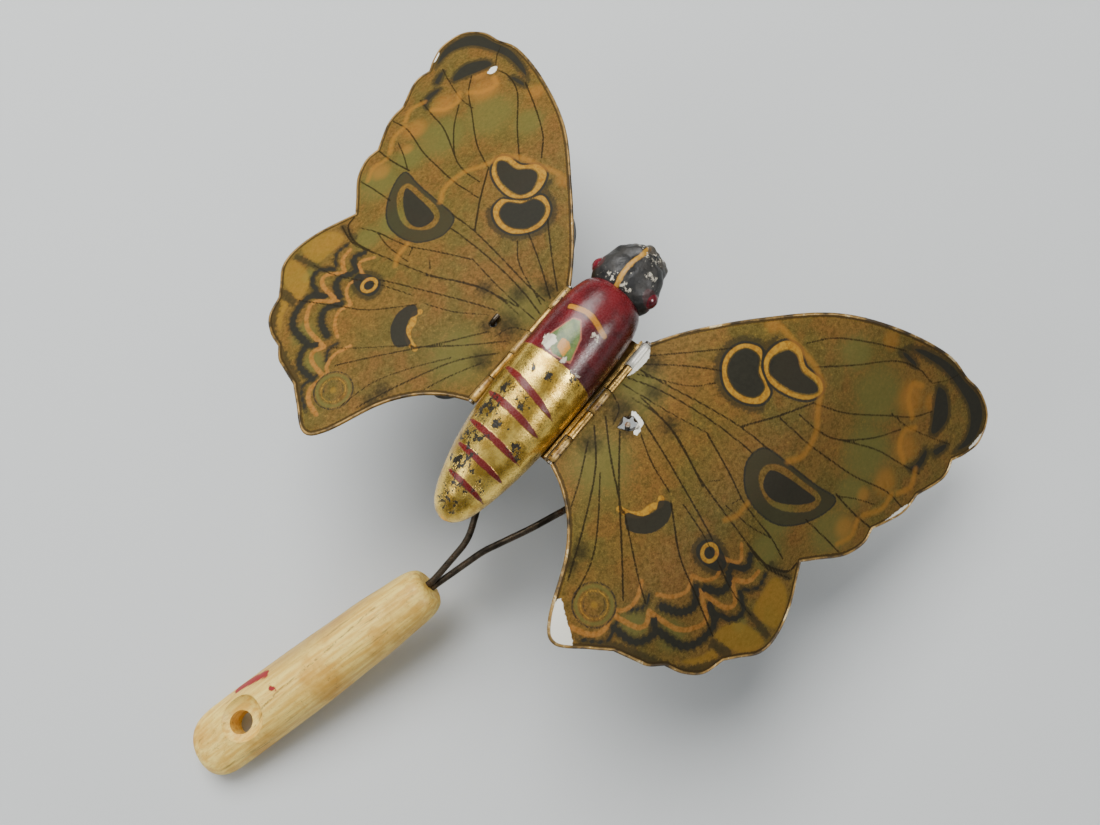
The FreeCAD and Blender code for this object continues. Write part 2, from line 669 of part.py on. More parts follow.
def axle_caps():
    """Domed caps pressed on the two ends of the axle."""
    caps = []
    for side in (1, -1):
        inner_y = HUB_Y[1] + 0.1
        face = V(AXLE_X, side * inner_y, AXLE_Z)
        skirt = rod(3.4, face, V(AXLE_X, side * (inner_y + 2.0), AXLE_Z))
        dome_y = sorted((side * (inner_y + 2.0), side * (inner_y + 4.0)))
        dome = Part.makeSphere(3.4, V(AXLE_X, side * (inner_y + 2.0), AXLE_Z))
        dome = dome.common(block(AXLE_X - 5, AXLE_X + 5, dome_y[0], dome_y[1], AXLE_Z - 5, AXLE_Z + 5))
        bore = rod(AXLE_R, V(AXLE_X, side * (inner_y - 1), AXLE_Z), V(AXLE_X, side * (HUB_Y[1] + 2.0), AXLE_Z))
        caps.append(join(skirt, dome).cut(bore))
    return Part.makeCompound(caps)


# ---- all nodes, moved to stand on the origin, and written out ---------------------------------
def toy():
    eye_pair = eyes()
    nodes = {
        "body_moulding": body_moulding(),
        "head": head(),
        "eye_left": eye_pair[1],
        "eye_right": eye_pair[-1],
        "neck_dowel": neck_dowel(),
        "saddle": saddle(),
        "body_screws": body_screws(),
        "axle_yoke": yoke(),
        "crossbar": crossbar(),
        "crossbar_rivets": crossbar_rivets(),
        "handle": handle(),
        "crank_axle": crank_axle(),
        "axle_washers": axle_washers(),
        "axle_caps": axle_caps(),
    }
    for name, side in (("left", 1), ("right", -1)):
        nodes["hinge_pin_" + name] = hinge_pin(side)
        nodes["wing_" + name] = wing(side)
        nodes["link_" + name] = link(side)
        nodes["fork_wire_" + name] = fork_wire(side)
        nodes["wheel_" + name] = wheel(side)
        nodes["hub_" + name] = hub(side)
        nodes["hub_rivets_" + name] = hub_rivets(side)
    return nodes


def standing_shift(nodes):
    """Move that puts the bottom centre of the toy's box on the origin."""
    box = FreeCAD.BoundBox()
    for shape in nodes.values():
        box.add(shape.optimalBoundingBox(False, False))
    return V(-box.Center.x, -box.Center.y, -box.ZMin)


def main():
    os.makedirs("parts", exist_ok=True)
    nodes = toy()
    shift = standing_shift(nodes)
    print("hinge middle at %.4f %.4f %.4f" % tuple(shift))
    for name, shape in nodes.items():
        shape.translate(shift)
        if not shape.isValid():
            print("not valid:", name)
        print("%-20s solids %d volume %.1f" % (name, len(shape.Solids), shape.Volume))
        shape.exportStep("parts/%s.step" % name)


main()
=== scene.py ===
"""Looks of the butterfly push toy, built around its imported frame.

Sizes are in millimetres in the toy's own axes (X to the head, Y to the left, Z up from the
hinge plane) and go through place() into the frame's metres.
"""

import json
import math

import bpy
import numpy as np
from mathutils import Matrix, Vector


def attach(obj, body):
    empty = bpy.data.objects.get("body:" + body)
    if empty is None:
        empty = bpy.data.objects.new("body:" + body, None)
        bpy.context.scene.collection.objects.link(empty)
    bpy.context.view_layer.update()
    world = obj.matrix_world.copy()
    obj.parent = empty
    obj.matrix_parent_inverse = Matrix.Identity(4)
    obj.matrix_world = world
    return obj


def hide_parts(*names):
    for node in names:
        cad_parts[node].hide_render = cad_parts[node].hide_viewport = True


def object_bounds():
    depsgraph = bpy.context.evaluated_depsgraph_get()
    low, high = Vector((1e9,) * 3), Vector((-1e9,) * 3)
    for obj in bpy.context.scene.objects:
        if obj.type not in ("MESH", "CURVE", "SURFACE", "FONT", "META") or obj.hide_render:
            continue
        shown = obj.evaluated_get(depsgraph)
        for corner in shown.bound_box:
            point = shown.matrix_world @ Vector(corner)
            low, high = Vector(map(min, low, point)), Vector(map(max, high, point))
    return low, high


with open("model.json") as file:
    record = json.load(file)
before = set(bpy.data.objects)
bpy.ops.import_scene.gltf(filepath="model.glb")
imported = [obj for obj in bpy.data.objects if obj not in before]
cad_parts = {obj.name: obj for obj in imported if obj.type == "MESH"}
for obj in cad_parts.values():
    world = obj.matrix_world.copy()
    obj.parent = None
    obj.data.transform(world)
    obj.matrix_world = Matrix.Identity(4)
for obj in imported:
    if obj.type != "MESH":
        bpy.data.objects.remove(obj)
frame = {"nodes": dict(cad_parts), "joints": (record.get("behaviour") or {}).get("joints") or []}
lowest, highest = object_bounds()

MM = 0.001
JOINTS = {joint["name"]: joint for joint in frame["joints"]}
ORIGIN = (np.array(JOINTS["wing_left_flap"]["pos_m"]) + np.array(JOINTS["wing_right_flap"]["pos_m"])) / 2
HINGE_Y = (JOINTS["wing_left_flap"]["pos_m"][1] - ORIGIN[1]) / MM

WING_FLAP = math.radians(9.0)
WING_CURL = {"left": math.radians(30.0), "right": math.radians(50.0)}
CURL_LENGTH = 72.0
WING_SHEET = 0.7
SIDES = {"left": 1, "right": -1}
# A distance at which no ink or paint shows.
OUT_OF_REACH = 9.0


def place(points):
    """Toy millimetres to frame metres."""
    return np.asarray(points, float) * MM + ORIGIN


def srgb(red, green, blue):
    """Screen colour, 0 to 255, to the linear colour that shaders take."""
    def linear(value):
        value = value / 255
        return value / 12.92 if value <= 0.04045 else ((value + 0.055) / 1.055) ** 2.4
    return (linear(red), linear(green), linear(blue), 1.0)


# ---- materials ----
class Paint:
    """One material, built up from small node steps."""

    def __init__(self, name, roughness=0.5, metallic=0.0):
        self.material = bpy.data.materials.new(name)
        self.material.use_nodes = True
        self.tree = self.material.node_tree
        self.shader = self.tree.nodes["Principled BSDF"]
        self.shader.inputs["Roughness"].default_value = roughness
        self.shader.inputs["Metallic"].default_value = metallic
        self.where = self.node("TexCoord").outputs["Object"]

    def node(self, kind):
        return self.tree.nodes.new("ShaderNode" + kind)

    def put(self, socket, value):
        if isinstance(value, bpy.types.NodeSocket):
            self.tree.links.new(value, socket)
        else:
            socket.default_value = value

    def set(self, name, value):
        self.put(self.shader.inputs[name], value)

    def math(self, operation, first, second=0.0):
        node = self.node("Math")
        node.operation = operation
        self.put(node.inputs[0], first)
        self.put(node.inputs[1], second)
        return node.outputs[0]

    def band(self, value, low, high, to_low=0.0, to_high=1.0):
        """Smooth step from to_low to to_high as value goes from low to high."""
        node = self.node("MapRange")
        node.interpolation_type = "SMOOTHSTEP"
        settings = {"Value": value, "From Min": low, "From Max": high, "To Min": to_low, "To Max": to_high}
        for name, setting in settings.items():
            self.put(node.inputs[name], setting)
        return node.outputs["Result"]

    def mix(self, factor, first, second):
        node = self.node("Mix")
        node.data_type = "RGBA"
        self.put(node.inputs[0], factor)
        self.put(node.inputs[6], first)
        self.put(node.inputs[7], second)
        return node.outputs[2]

    def attribute(self, name):
        """A layer kept on the mesh by keep_on_mesh()."""
        node = self.node("Attribute")
        node.attribute_name = name
        return node.outputs["Fac"]

    def stretched(self, along, factor):
        """Object coordinates squeezed along one direction, for grain."""
        turn = Vector(along).to_track_quat("X", "Z").inverted().to_euler()
        node = self.node("Mapping")
        self.put(node.inputs["Vector"], self.where)
        node.inputs["Rotation"].default_value = turn
        squeeze = self.node("VectorMath")
        squeeze.operation = "MULTIPLY"
        self.put(squeeze.inputs[0], node.outputs[0])
        squeeze.inputs[1].default_value = (factor, 1.0, 1.0)
        return squeeze.outputs[0]

    def noise(self, size_mm, detail=3.0, rough=0.55, vector=None):
        node = self.node("TexNoise")
        self.put(node.inputs["Vector"], vector or self.where)
        node.inputs["Scale"].default_value = 1 / (size_mm * MM)
        node.inputs["Detail"].default_value = detail
        node.inputs["Roughness"].default_value = rough
        return node.outputs["Fac"]

    def centred(self, value, scale):
        """A noise, which lies about one half, moved to lie about zero and scaled."""
        return self.math("MULTIPLY", self.math("SUBTRACT", value, 0.5), scale)

    def edge(self, name, ragged, share=1.0):
        """A layer kept on the mesh, made uneven by a share of some noise."""
        return self.math("ADD", self.attribute(name), self.math("MULTIPLY", ragged, share))

    def bump(self, height, depth_mm, strength):
        node = self.node("Bump")
        node.inputs["Strength"].default_value = strength
        node.inputs["Distance"].default_value = depth_mm * MM
        self.put(node.inputs["Height"], height)
        self.put(self.shader.inputs["Normal"], node.outputs["Normal"])


def steel_paint(name, light, dark, rust, roughness, metallic=0.85):
    """Tarnished metal: cloudy, a little rusty, finely scratched."""
    paint = Paint(name, metallic=metallic)
    cloud = paint.noise(6.0, 4.0)
    speck = paint.noise(0.7, 3.0)
    color = paint.mix(paint.band(cloud, 0.35, 0.68), dark, light)
    color = paint.mix(paint.band(paint.math("MULTIPLY", cloud, speck), 0.30, 0.38), color, rust)
    paint.set("Base Color", color)
    paint.set("Roughness", paint.band(speck, 0.3, 0.7, roughness - 0.1, roughness + 0.15))
    paint.bump(speck, 0.05, 0.5)
    return paint.material


def enamel_paint():
    """Dark wheel enamel with a green cast, dusty and chipped to metal."""
    paint = Paint("dark_enamel", roughness=0.38)
    cloud = paint.noise(9.0, 4.0)
    chip = paint.noise(1.6, 5.0, 0.65)
    color = paint.mix(paint.band(cloud, 0.35, 0.7), srgb(22, 25, 22), srgb(40, 48, 38))
    color = paint.mix(paint.band(chip, 0.66, 0.68), color, srgb(112, 98, 78))
    paint.set("Base Color", color)
    paint.set("Roughness", paint.band(cloud, 0.3, 0.7, 0.3, 0.5))
    paint.bump(chip, 0.08, 0.4)
    return paint.material


def wood_paint(along):
    """Bare, handled wood: long pale grain, grey dirt, a red streak, a fine crack, and shade painted along one
    side.
    """
    paint = Paint("worn_wood", roughness=0.5)
    lengthwise = paint.stretched(along, 0.07)
    grain = paint.noise(1.6, 5.0, 0.6, lengthwise)
    fine = paint.noise(0.4, 3.0, 0.6, lengthwise)
    stain = paint.noise(18.0, 4.0, 0.6)
    dirt = paint.noise(2.6, 6.0, 0.7, lengthwise)
    color = paint.mix(paint.band(grain, 0.36, 0.64), srgb(232, 184, 78), srgb(255, 224, 120))
    color = paint.mix(paint.band(fine, 0.60, 0.76, 0.0, 0.5), color, srgb(160, 112, 46))
    color = paint.mix(paint.band(stain, 0.46, 0.68, 0.0, 0.7), color, srgb(206, 148, 44))
    # Painted shade: the grip is darkened along one side, where the shade layer is kept.
    shade = paint.band(paint.attribute("shade"), 0.0, 1.0, 0.0, 0.6)
    color = paint.mix(shade, color, srgb(140, 104, 62))
    color = paint.mix(paint.band(dirt, 0.58, 0.72, 0.0, 0.7), color, srgb(116, 84, 44))
    stipple = paint.noise(1.0, 5.0, 0.75)
    color = paint.mix(paint.band(stipple, 0.58, 0.68, 0.0, 0.55), color, srgb(124, 92, 48))
    red = paint.edge("red_streak", paint.centred(dirt, 4.0))
    color = paint.mix(paint.band(red, 0.3, -0.2), color, srgb(148, 16, 20))
    split = paint.band(paint.edge("crack", paint.centred(grain, 1.4)), 0.4, 0.05)
    color = paint.mix(paint.math("MULTIPLY", split, 0.5), color, srgb(110, 76, 36))
    paint.set("Base Color", color)
    paint.set("Roughness", paint.band(stain, 0.3, 0.7, 0.42, 0.62))
    height = paint.math("ADD", paint.math("MULTIPLY", grain, 0.6), fine)
    paint.bump(paint.math("SUBTRACT", height, paint.math("MULTIPLY", split, 2.0)), 0.12, 0.5)
    return paint.material


def litho_paint():
    """The printed wing: inks whose edges come from the distances kept on the mesh."""
    paint = Paint("wing_print", roughness=0.5)
    wobble = paint.centred(paint.noise(0.8, 3.0, 0.6), 0.9)
    brush = paint.centred(paint.noise(1.2, 5.0, 0.75), 5.0)
    cloud = paint.noise(20.0, 4.0, 0.55)
    patch = paint.noise(9.0, 3.0, 0.5)
    mottle = paint.noise(1.5, 6.0, 0.72)
    dot = paint.noise(0.55, 4.0, 0.7)
    blur = paint.centred(mottle, 0.8)

    color = paint.mix(paint.band(cloud, 0.36, 0.62), srgb(98, 85, 40), srgb(115, 88, 42))
    color = paint.mix(paint.band(patch, 0.45, 0.68, 0.0, 0.55), color, srgb(121, 82, 40))
    color = paint.mix(paint.band(mottle, 0.42, 0.70, 0.0, 0.65), color, srgb(62, 50, 20))
    color = paint.mix(paint.band(mottle, 0.44, 0.30, 0.0, 0.4), color, srgb(156, 122, 50))
    color = paint.mix(paint.band(dot, 0.52, 0.68, 0.0, 0.5), color, srgb(58, 44, 18))
    color = paint.mix(paint.band(dot, 0.44, 0.32, 0.0, 0.35), color, srgb(160, 128, 58))
    tints = [
        ("green", 0.15, 0.9, 0.7, srgb(98, 96, 48)), ("orange", 0.25, 0.95, 0.4, srgb(168, 112, 46)),
        ("gold", 0.2, 0.9, 0.4, srgb(164, 124, 40)), ("smudge", 0.1, 1.0, 0.85, srgb(42, 38, 22)),
    ]
    for name, faint, full, cover, tint in tints:
        color = paint.mix(paint.band(paint.edge(name, blur), faint, full, 0.0, cover), color, tint)

    uneven = paint.band(mottle, 0.4, 0.65)
    inks = [
        ("charcoal", wobble, 1.0, 0.3, -0.3, 0.88, paint.mix(mottle, srgb(30, 32, 27), srgb(66, 64, 44))),
        ("soft_ink", brush, 1.0, 0.6, -0.8, 0.75, srgb(50, 46, 30)),
        ("yellow", wobble, 0.6, 0.25, -0.25, 0.9, paint.mix(uneven, srgb(178, 134, 46), srgb(146, 100, 34))),
        ("swag", wobble, 1.0, 0.4, -0.3, 0.8, paint.mix(uneven, srgb(168, 116, 56), srgb(140, 92, 38))),
        ("ink", wobble, 0.7, 0.2, -0.25, 0.95, paint.mix(mottle, srgb(24, 26, 25), srgb(56, 54, 44))),
        ("vein", wobble, 0.7, 0.18, -0.12, 0.9, srgb(34, 28, 15)),
    ]
    for name, ragged, share, outer, inner, cover, ink in inks:
        color = paint.mix(paint.band(paint.edge(name, ragged, share), outer, inner, 0.0, cover), color, ink)

    fleck = paint.noise(1.0, 6.0, 0.78)
    color = paint.mix(paint.band(fleck, 0.675, 0.70, 0.0, 0.75), color, srgb(46, 36, 20))
    rim = paint.band(paint.edge("rim", wobble, 1.2), 0.5, 0.0, 0.0, 0.85)
    color = paint.mix(rim, color, srgb(56, 44, 24))
    arc = paint.band(paint.edge("arc", wobble, 1.6), 0.9, -0.9, 0.0, 0.5)
    color = paint.mix(arc, color, srgb(166, 114, 44))
    bare = paint.band(paint.edge("chip", wobble, 1.6), 0.15, -0.1)
    color = paint.mix(bare, color, srgb(238, 236, 222))
    paint.set("Base Color", color)
    paint.set("Roughness", paint.band(mottle, 0.3, 0.7, 0.42, 0.6))
    paint.set("Specular IOR Level", 0.05)
    height = paint.math("SUBTRACT", paint.math("MULTIPLY", dot, 0.3), bare)
    paint.bump(height, 0.12, 0.5)
    return paint.material


def hem_paint(side):
    """Rolled tin edge: brown print, rubbed to brass and primer; the right wing is rubbed more."""
    paint = Paint("hem_" + side, roughness=0.42, metallic=0.5)
    rub = paint.noise(7.0, 5.0, 0.6)
    fleck = paint.noise(1.4, 5.0, 0.7)
    color = paint.mix(paint.band(rub, 0.36, 0.58), srgb(58, 46, 26), srgb(148, 116, 58))
    worn_from = {"left": 0.62, "right": 0.55}[side]
    worn = paint.math("ADD", paint.math("MULTIPLY", rub, 0.6), paint.math("MULTIPLY", fleck, 0.4))
    color = paint.mix(paint.band(worn, worn_from, worn_from + 0.05), color, srgb(198, 178, 132))
    paint.set("Base Color", color)
    paint.bump(fleck, 0.1, 0.5)
    return paint.material


def knuckle_paint(side):
    """Knuckles in worn gold print; the right wing's front one is rubbed to white primer."""
    paint = Paint("knuckles_" + side, roughness=0.42, metallic=0.3)
    cloud = paint.noise(4.0, 4.0)
    fleck = paint.noise(1.2, 5.0, 0.7)
    color = paint.mix(paint.band(cloud, 0.38, 0.62), srgb(128, 96, 44), srgb(182, 150, 84))
    color = paint.mix(paint.band(fleck, 0.56, 0.6), color, srgb(54, 38, 20))
    if side == "right":
        split = paint.node("SeparateXYZ")
        paint.put(split.inputs[0], paint.where)
        ragged = paint.math("MULTIPLY", paint.centred(fleck, 12.0), MM)
        ahead = paint.math("ADD", split.outputs[0], ragged)
        bare_from = float(ORIGIN[0]) + 13 * MM
        color = paint.mix(paint.band(ahead, bare_from, bare_from + MM), color, srgb(236, 234, 222))
    paint.set("Base Color", color)
    paint.bump(fleck, 0.08, 0.5)
    return paint.material


def body_paint():
    """Gold bronze abdomen with red bands, maroon thorax with emblem, all flaked."""
    paint = Paint("body_paint", roughness=0.34)
    wobble = paint.centred(paint.noise(2.0, 4.0, 0.6), 2.4)
    cloud = paint.noise(7.0, 5.0, 0.62)
    grit = paint.noise(0.7, 4.0, 0.7)
    gold = paint.mix(paint.band(cloud, 0.36, 0.64), srgb(176, 140, 56), srgb(244, 208, 104))
    gold = paint.mix(paint.band(grit, 0.62, 0.70, 0.0, 0.7), gold, srgb(110, 76, 30))
    thorax = paint.band(paint.edge("thorax", wobble, 0.4), 0.2, -0.2)
    maroon = paint.mix(paint.band(cloud, 0.38, 0.68), srgb(76, 12, 18), srgb(112, 24, 30))
    color = paint.mix(thorax, gold, maroon)
    bands = paint.band(paint.edge("bands", wobble, 0.4), 0.2, -0.15)
    color = paint.mix(bands, color, paint.mix(cloud, srgb(84, 16, 14), srgb(122, 34, 28)))
    bar = paint.edge("bar", wobble, 0.4)
    color = paint.mix(paint.band(bar, 0.7, 0.3, 0.0, 0.6), color, srgb(70, 26, 16))
    color = paint.mix(paint.band(bar, 0.2, -0.15), color, srgb(178, 118, 24))
    emblem = paint.edge("emblem", wobble, 0.3)
    color = paint.mix(paint.band(emblem, 0.6, 0.3, 0.0, 0.7), color, srgb(190, 120, 90))
    green = paint.mix(paint.band(cloud, 0.4, 0.6), srgb(74, 98, 44), srgb(122, 138, 70))
    color = paint.mix(paint.band(emblem, 0.1, -0.2), color, green)
    color = paint.mix(paint.band(paint.edge("wedge", wobble, 0.4), 0.2, -0.2), color, srgb(196, 132, 26))
    color = paint.mix(paint.band(paint.edge("heart", wobble), 0.2, -0.2), color, srgb(226, 218, 190))
    flake = paint.noise(2.6, 6.0, 0.74)
    limit = paint.band(paint.attribute("worn"), 0.0, 1.0, 0.69, 0.50)
    chipped = paint.band(paint.math("SUBTRACT", flake, limit), 0.0, 0.015)
    color = paint.mix(chipped, color, paint.mix(thorax, srgb(40, 36, 26), srgb(220, 208, 186)))
    paint.set("Base Color", color)
    covered = paint.math("MAXIMUM", thorax, paint.math("MAXIMUM", bands, chipped))
    paint.set("Metallic", paint.math("MULTIPLY", paint.math("SUBTRACT", 1.0, covered), 0.92))
    paint.set("Roughness", paint.band(grit, 0.3, 0.7, 0.18, 0.36))
    relief = paint.math("ADD", paint.math("MULTIPLY", grit, 0.25), paint.math("MULTIPLY", bands, 0.6))
    paint.bump(paint.math("SUBTRACT", relief, chipped), 0.25, 0.8)
    return paint.material


def head_paint():
    """Black head with a yellow stripe, red cheeks and plaster at the broken snout."""
    paint = Paint("head_paint", roughness=0.4)
    wobble = paint.centred(paint.noise(2.0, 4.0, 0.6), 2.4)
    cloud = paint.noise(4.0, 5.0, 0.6)
    color = paint.mix(paint.band(cloud, 0.35, 0.7), srgb(14, 14, 14), srgb(40, 37, 32))
    color = paint.mix(paint.band(paint.edge("stripe", wobble, 0.5), 0.3, -0.2), color, srgb(176, 128, 30))
    red = paint.band(paint.edge("cheek", wobble, 0.6), 0.3, -0.3, 0.0, 0.6)
    color = paint.mix(red, color, srgb(80, 16, 20))
    broken = paint.band(paint.edge("broken", wobble, 1.6), 0.4, -0.4, 0.0, 0.85)
    color = paint.mix(broken, color, paint.mix(cloud, srgb(30, 28, 25), srgb(96, 88, 76)))
    flake = paint.noise(1.8, 6.0, 0.72)
    scuffed = paint.band(paint.attribute("scuffed"), 0.0, 1.0, 0.655, 0.53)
    flaked = paint.band(paint.math("SUBTRACT", flake, scuffed), 0.0, 0.015)
    color = paint.mix(flaked, color, srgb(206, 198, 178))
    paint.set("Base Color", color)
    paint.set("Roughness", paint.band(cloud, 0.3, 0.7, 0.3, 0.55))
    paint.bump(paint.math("ADD", cloud, paint.math("MULTIPLY", flake, -0.5)), 0.5, 0.8)
    return paint.material


def eye_paint():
    paint = Paint("eye_red", roughness=0.22)
    cloud = paint.noise(1.6, 4.0)
    color = paint.mix(paint.band(cloud, 0.4, 0.7), srgb(112, 20, 34), srgb(64, 10, 20))
    paint.set("Base Color", color)
    paint.bump(cloud, 0.1, 0.4)
    return paint.material


def floor_paint():
    paint = Paint("pale_floor", roughness=0.85)
    cloud = paint.noise(300.0, 3.0)
    grain = paint.noise(1.0, 3.0)
    paint.set("Base Color", paint.mix(cloud, srgb(203, 207, 208), srgb(211, 214, 214)))
    paint.bump(grain, 0.05, 0.3)
    return paint.material


# ---- mesh helpers ----
def add_object(name, data):
    piece = bpy.data.objects.new(name, data)
    bpy.context.scene.collection.objects.link(piece)
    return piece


def new_object(name, vertices, faces, material, smooth=True):
    mesh = bpy.data.meshes.new(name)
    mesh.from_pydata([tuple(v) for v in vertices], [], [tuple(int(i) for i in face) for face in faces])
    mesh.materials.append(material)
    mesh.update()
    if smooth:
        mesh.polygons.foreach_set("use_smooth", [True] * len(mesh.polygons))
    return add_object(name, mesh)


def keep_on_mesh(piece, name, values):
    layer = piece.data.attributes.new(name, "FLOAT", "POINT")
    layer.data.foreach_set("value", np.asarray(values, np.float32))


def smooth_curve(points, steps=12, closed=False):
    """Catmull-Rom curve through the points."""
    pts = np.asarray(points, float)
    if closed:
        padded = np.vstack([pts[-1], pts, pts[0], pts[1]])
    else:
        padded = np.vstack([2 * pts[0] - pts[1], pts, 2 * pts[-1] - pts[-2]])
    result = []
    share = np.linspace(0, 1, steps, endpoint=False)[:, None]
    for a, b, c, d in zip(padded, padded[1:], padded[2:], padded[3:]):
        result.append(0.5 * (2 * b + (c - a) * share + (2 * a - 5 * b + 4 * c - d) * share ** 2
                             + (3 * b - a - 3 * c + d) * share ** 3))
    if not closed:
        result.append(pts[-1:])
    return np.vstack(result)


def to_path(places, path, closed=False):
    """Distance from each place to a path, and the nearest point on it."""
    ends = np.vstack([path, path[:1]]) if closed else path
    best = np.full(len(places), 1e9)
    nearest = np.zeros((len(places), 2))
    for a, b in zip(ends, ends[1:]):
        way = b - a
        share = np.clip((places - a) @ way / max(way @ way, 1e-9), 0, 1)
        foot = a + share[:, None] * way
        away = np.hypot(*(places - foot).T)
        closer = away < best
        best[closer] = away[closer]
        nearest[closer] = foot[closer]
    return best, nearest


def within(places, path):
    """True for the places inside a closed path."""
    s, t = places.T
    inside = np.zeros(len(places), bool)
    for a, b in zip(path, np.roll(path, -1, axis=0)):
        crosses = (a[1] > t) != (b[1] > t)
        rise = b[1] - a[1] if b[1] != a[1] else 1e-9
        inside ^= crosses & (s < (b[0] - a[0]) * (t - a[1]) / rise + a[0])
    return inside


def shape_distance(places, points, closed_curve=True):
    """Signed distance to a closed shape, below zero inside."""
    path = smooth_curve(points, 8, True) if closed_curve else np.asarray(points, float)
    away, _ = to_path(places, path, True)
    return np.where(within(places, path), -away, away)


def strip_faces(rows, count, ring):
    """Quads between rows of count points; ring joins each row's last point to its first."""
    faces = []
    for i in range(rows - 1):
        for j in range(count if ring else count - 1):
            k = (j + 1) % count
            faces.append((i * count + j, i * count + k, (i + 1) * count + k, (i + 1) * count + j))
    return faces


def tube_mesh(name, centres, radius, material, sides=10):
    """Round tube with closed ends along a path of frame points."""
    count = len(centres)
    ahead = np.gradient(centres, axis=0)
    ahead /= np.linalg.norm(ahead, axis=1)[:, None]
    across = np.cross(ahead, (0.0, 0.0, 1.0))
    across /= np.linalg.norm(across, axis=1)[:, None]
    lift = np.cross(across, ahead)
    turn = np.linspace(0, 2 * math.pi, sides, endpoint=False)[None, :, None]
    rings = centres[:, None] + radius * (across[:, None] * np.cos(turn) + lift[:, None] * np.sin(turn))
    faces = [(a, d, c, b) for a, b, c, d in strip_faces(count, sides, True)]
    faces.append(list(range(sides)))
    faces.append([(count - 1) * sides + j for j in reversed(range(sides))])
    return new_object(name, rings.reshape(-1, 3), faces, material)


def loft_mesh(name, sections, material, shape, along=200, around=120):
    """Closed skin through ovals (distance, half width, half height, lift).

    shape(points) presses it and places it.  Returns the piece and its points before that.
    """
    fine = 40
    knots = np.linspace(0, len(sections) - 1, along)
    curve = smooth_curve(sections, fine)
    samples = np.array([curve[int(round(k * fine))] for k in knots])
    turn = np.linspace(0, 2 * math.pi, around, endpoint=False)
    x = np.repeat(samples[:, 0], around)
    y = (samples[:, 1:2] * np.cos(turn)).ravel()
    z = (samples[:, 2:3] * np.sin(turn) + samples[:, 3:4]).ravel()
    points = np.column_stack([x, y, z])
    cap = 0.15
    first_pole = [samples[0, 0] - cap, 0, samples[0, 3]]
    last_pole = [samples[-1, 0] + cap, 0, samples[-1, 3]]
    points = np.vstack([points, first_pole, last_pole])
    faces = strip_faces(along, around, True)
    first, last = along * around, along * around + 1
    for j in range(around):
        m = (j + 1) % around
        faces.append((first, m, j))
        faces.append((last, (along - 1) * around + j, (along - 1) * around + m))
    return new_object(name, shape(points), faces, material), points


def lumps(points, size, seed):
    """Smooth pseudo-random field from a few turned sine waves, about -1 to 1."""
    rng = np.random.default_rng(seed)
    total = np.zeros(len(points))
    for level in range(3):
        for _ in range(4):
            way = rng.normal(size=3)
            way /= np.linalg.norm(way)
            finer = 1.8 ** level
            total += np.sin(points @ way * 2 * math.pi / size * finer + rng.uniform(0, 6.3)) / finer
    return total / 5.5


# ---- wings ----
# Print places are (s, t): s forward along the hinge, t outward along the sheet.
OUTLINE_RUNS = [
    [(27.2, 0), (40, 8.9), (60, 26.2), (79.5, 45.8), (94.5, 71), (103.6, 93.5), (104.5, 107)],
    [(104.5, 107), (105.6, 117), (102, 126.6), (93, 130.4), (85, 128.4), (78.6, 124.8)],
    [(78.6, 124.8), (73.4, 126.6), (68, 125.6), (58, 120.8)],
    [(58, 120.8), (51.6, 120.8), (46, 119), (35.4, 112.9)],
    [(35.4, 112.9), (28.8, 113.6), (20.4, 109.6), (12, 100.9), (6.3, 95)],
    [(6.3, 95), (-8, 103.2), (-19.7, 106.4), (-28.2, 104.8), (-34.9, 98.2), (-39.4, 93.7)],
    [(-39.4, 93.7), (-47.6, 90.2), (-52.3, 83.3), (-54.6, 75)],
    [(-54.6, 75), (-58.4, 70), (-59.8, 65.4), (-62.3, 56)],
    [(-62.3, 56), (-67, 49), (-73.2, 39.2), (-68, 33), (-50, 25.2), (-39.4, 17.9), (-32, 9.2), (-27.2, 0)],
]
LINK_HOLE = (-0.7, 12.8)
LINK_HOLE_R = 1.5
TORN_HOLE = [(-4.0, 10.6), (-2.8, 14.2), (-0.8, 16.2), (2.2, 15.4), (3.0, 12.4), (0.8, 9.8)]
CELL = 0.6
HEM_R = 0.62
FORE_STRETCH = 0.00036
TIP_STRETCH = 0.00041
KNUCKLE_SPANS = [(-27.2, -16.8), (-5.0, 5.0), (16.8, 27.2)]
KNUCKLE_OUTER_R = 1.65
KNUCKLE_INNER_R = 1.0
KNUCKLE_ARC = (math.radians(-70), math.radians(250))


def outline_path():
    """The wing's outline from hinge to hinge, with a corner between each two runs."""
    return np.vstack([smooth_curve(run, 14)[:-1] for run in OUTLINE_RUNS])


def on_sheet(places):
    """Print places to places on the bent sheet, which is a little longer towards the tip."""
    s, t = places.T
    return np.column_stack([s + FORE_STRETCH * np.maximum(s, 0) * t, t * (1 + TIP_STRETCH * t)])


def wing_points(side, places, lift=0.0):
    """Print places to frame points on the curled sheet."""
    s, t = on_sheet(places).T
    bend = WING_CURL[side] / CURL_LENGTH
    on_arc = np.minimum(t, CURL_LENGTH)
    slope = WING_FLAP - bend * on_arc
    y = (math.sin(WING_FLAP) - np.sin(slope)) / bend
    z = (np.cos(slope) - math.cos(WING_FLAP)) / bend
    beyond = np.maximum(t - CURL_LENGTH, 0)
    y = y + beyond * np.cos(slope) - lift * np.sin(slope)
    z = z + beyond * np.sin(slope) + lift * np.cos(slope)
    return place(np.column_stack([s, SIDES[side] * (HINGE_Y + y), z]))


def strokes(places, lines):
    """Distance to the nearest of some lines, each (width, points), less its half width."""
    best = np.full(len(places), 1e9)
    for width, points in lines:
        away, _ = to_path(places, smooth_curve(points, 6))
        best = np.minimum(best, away - width / 2)
    return best


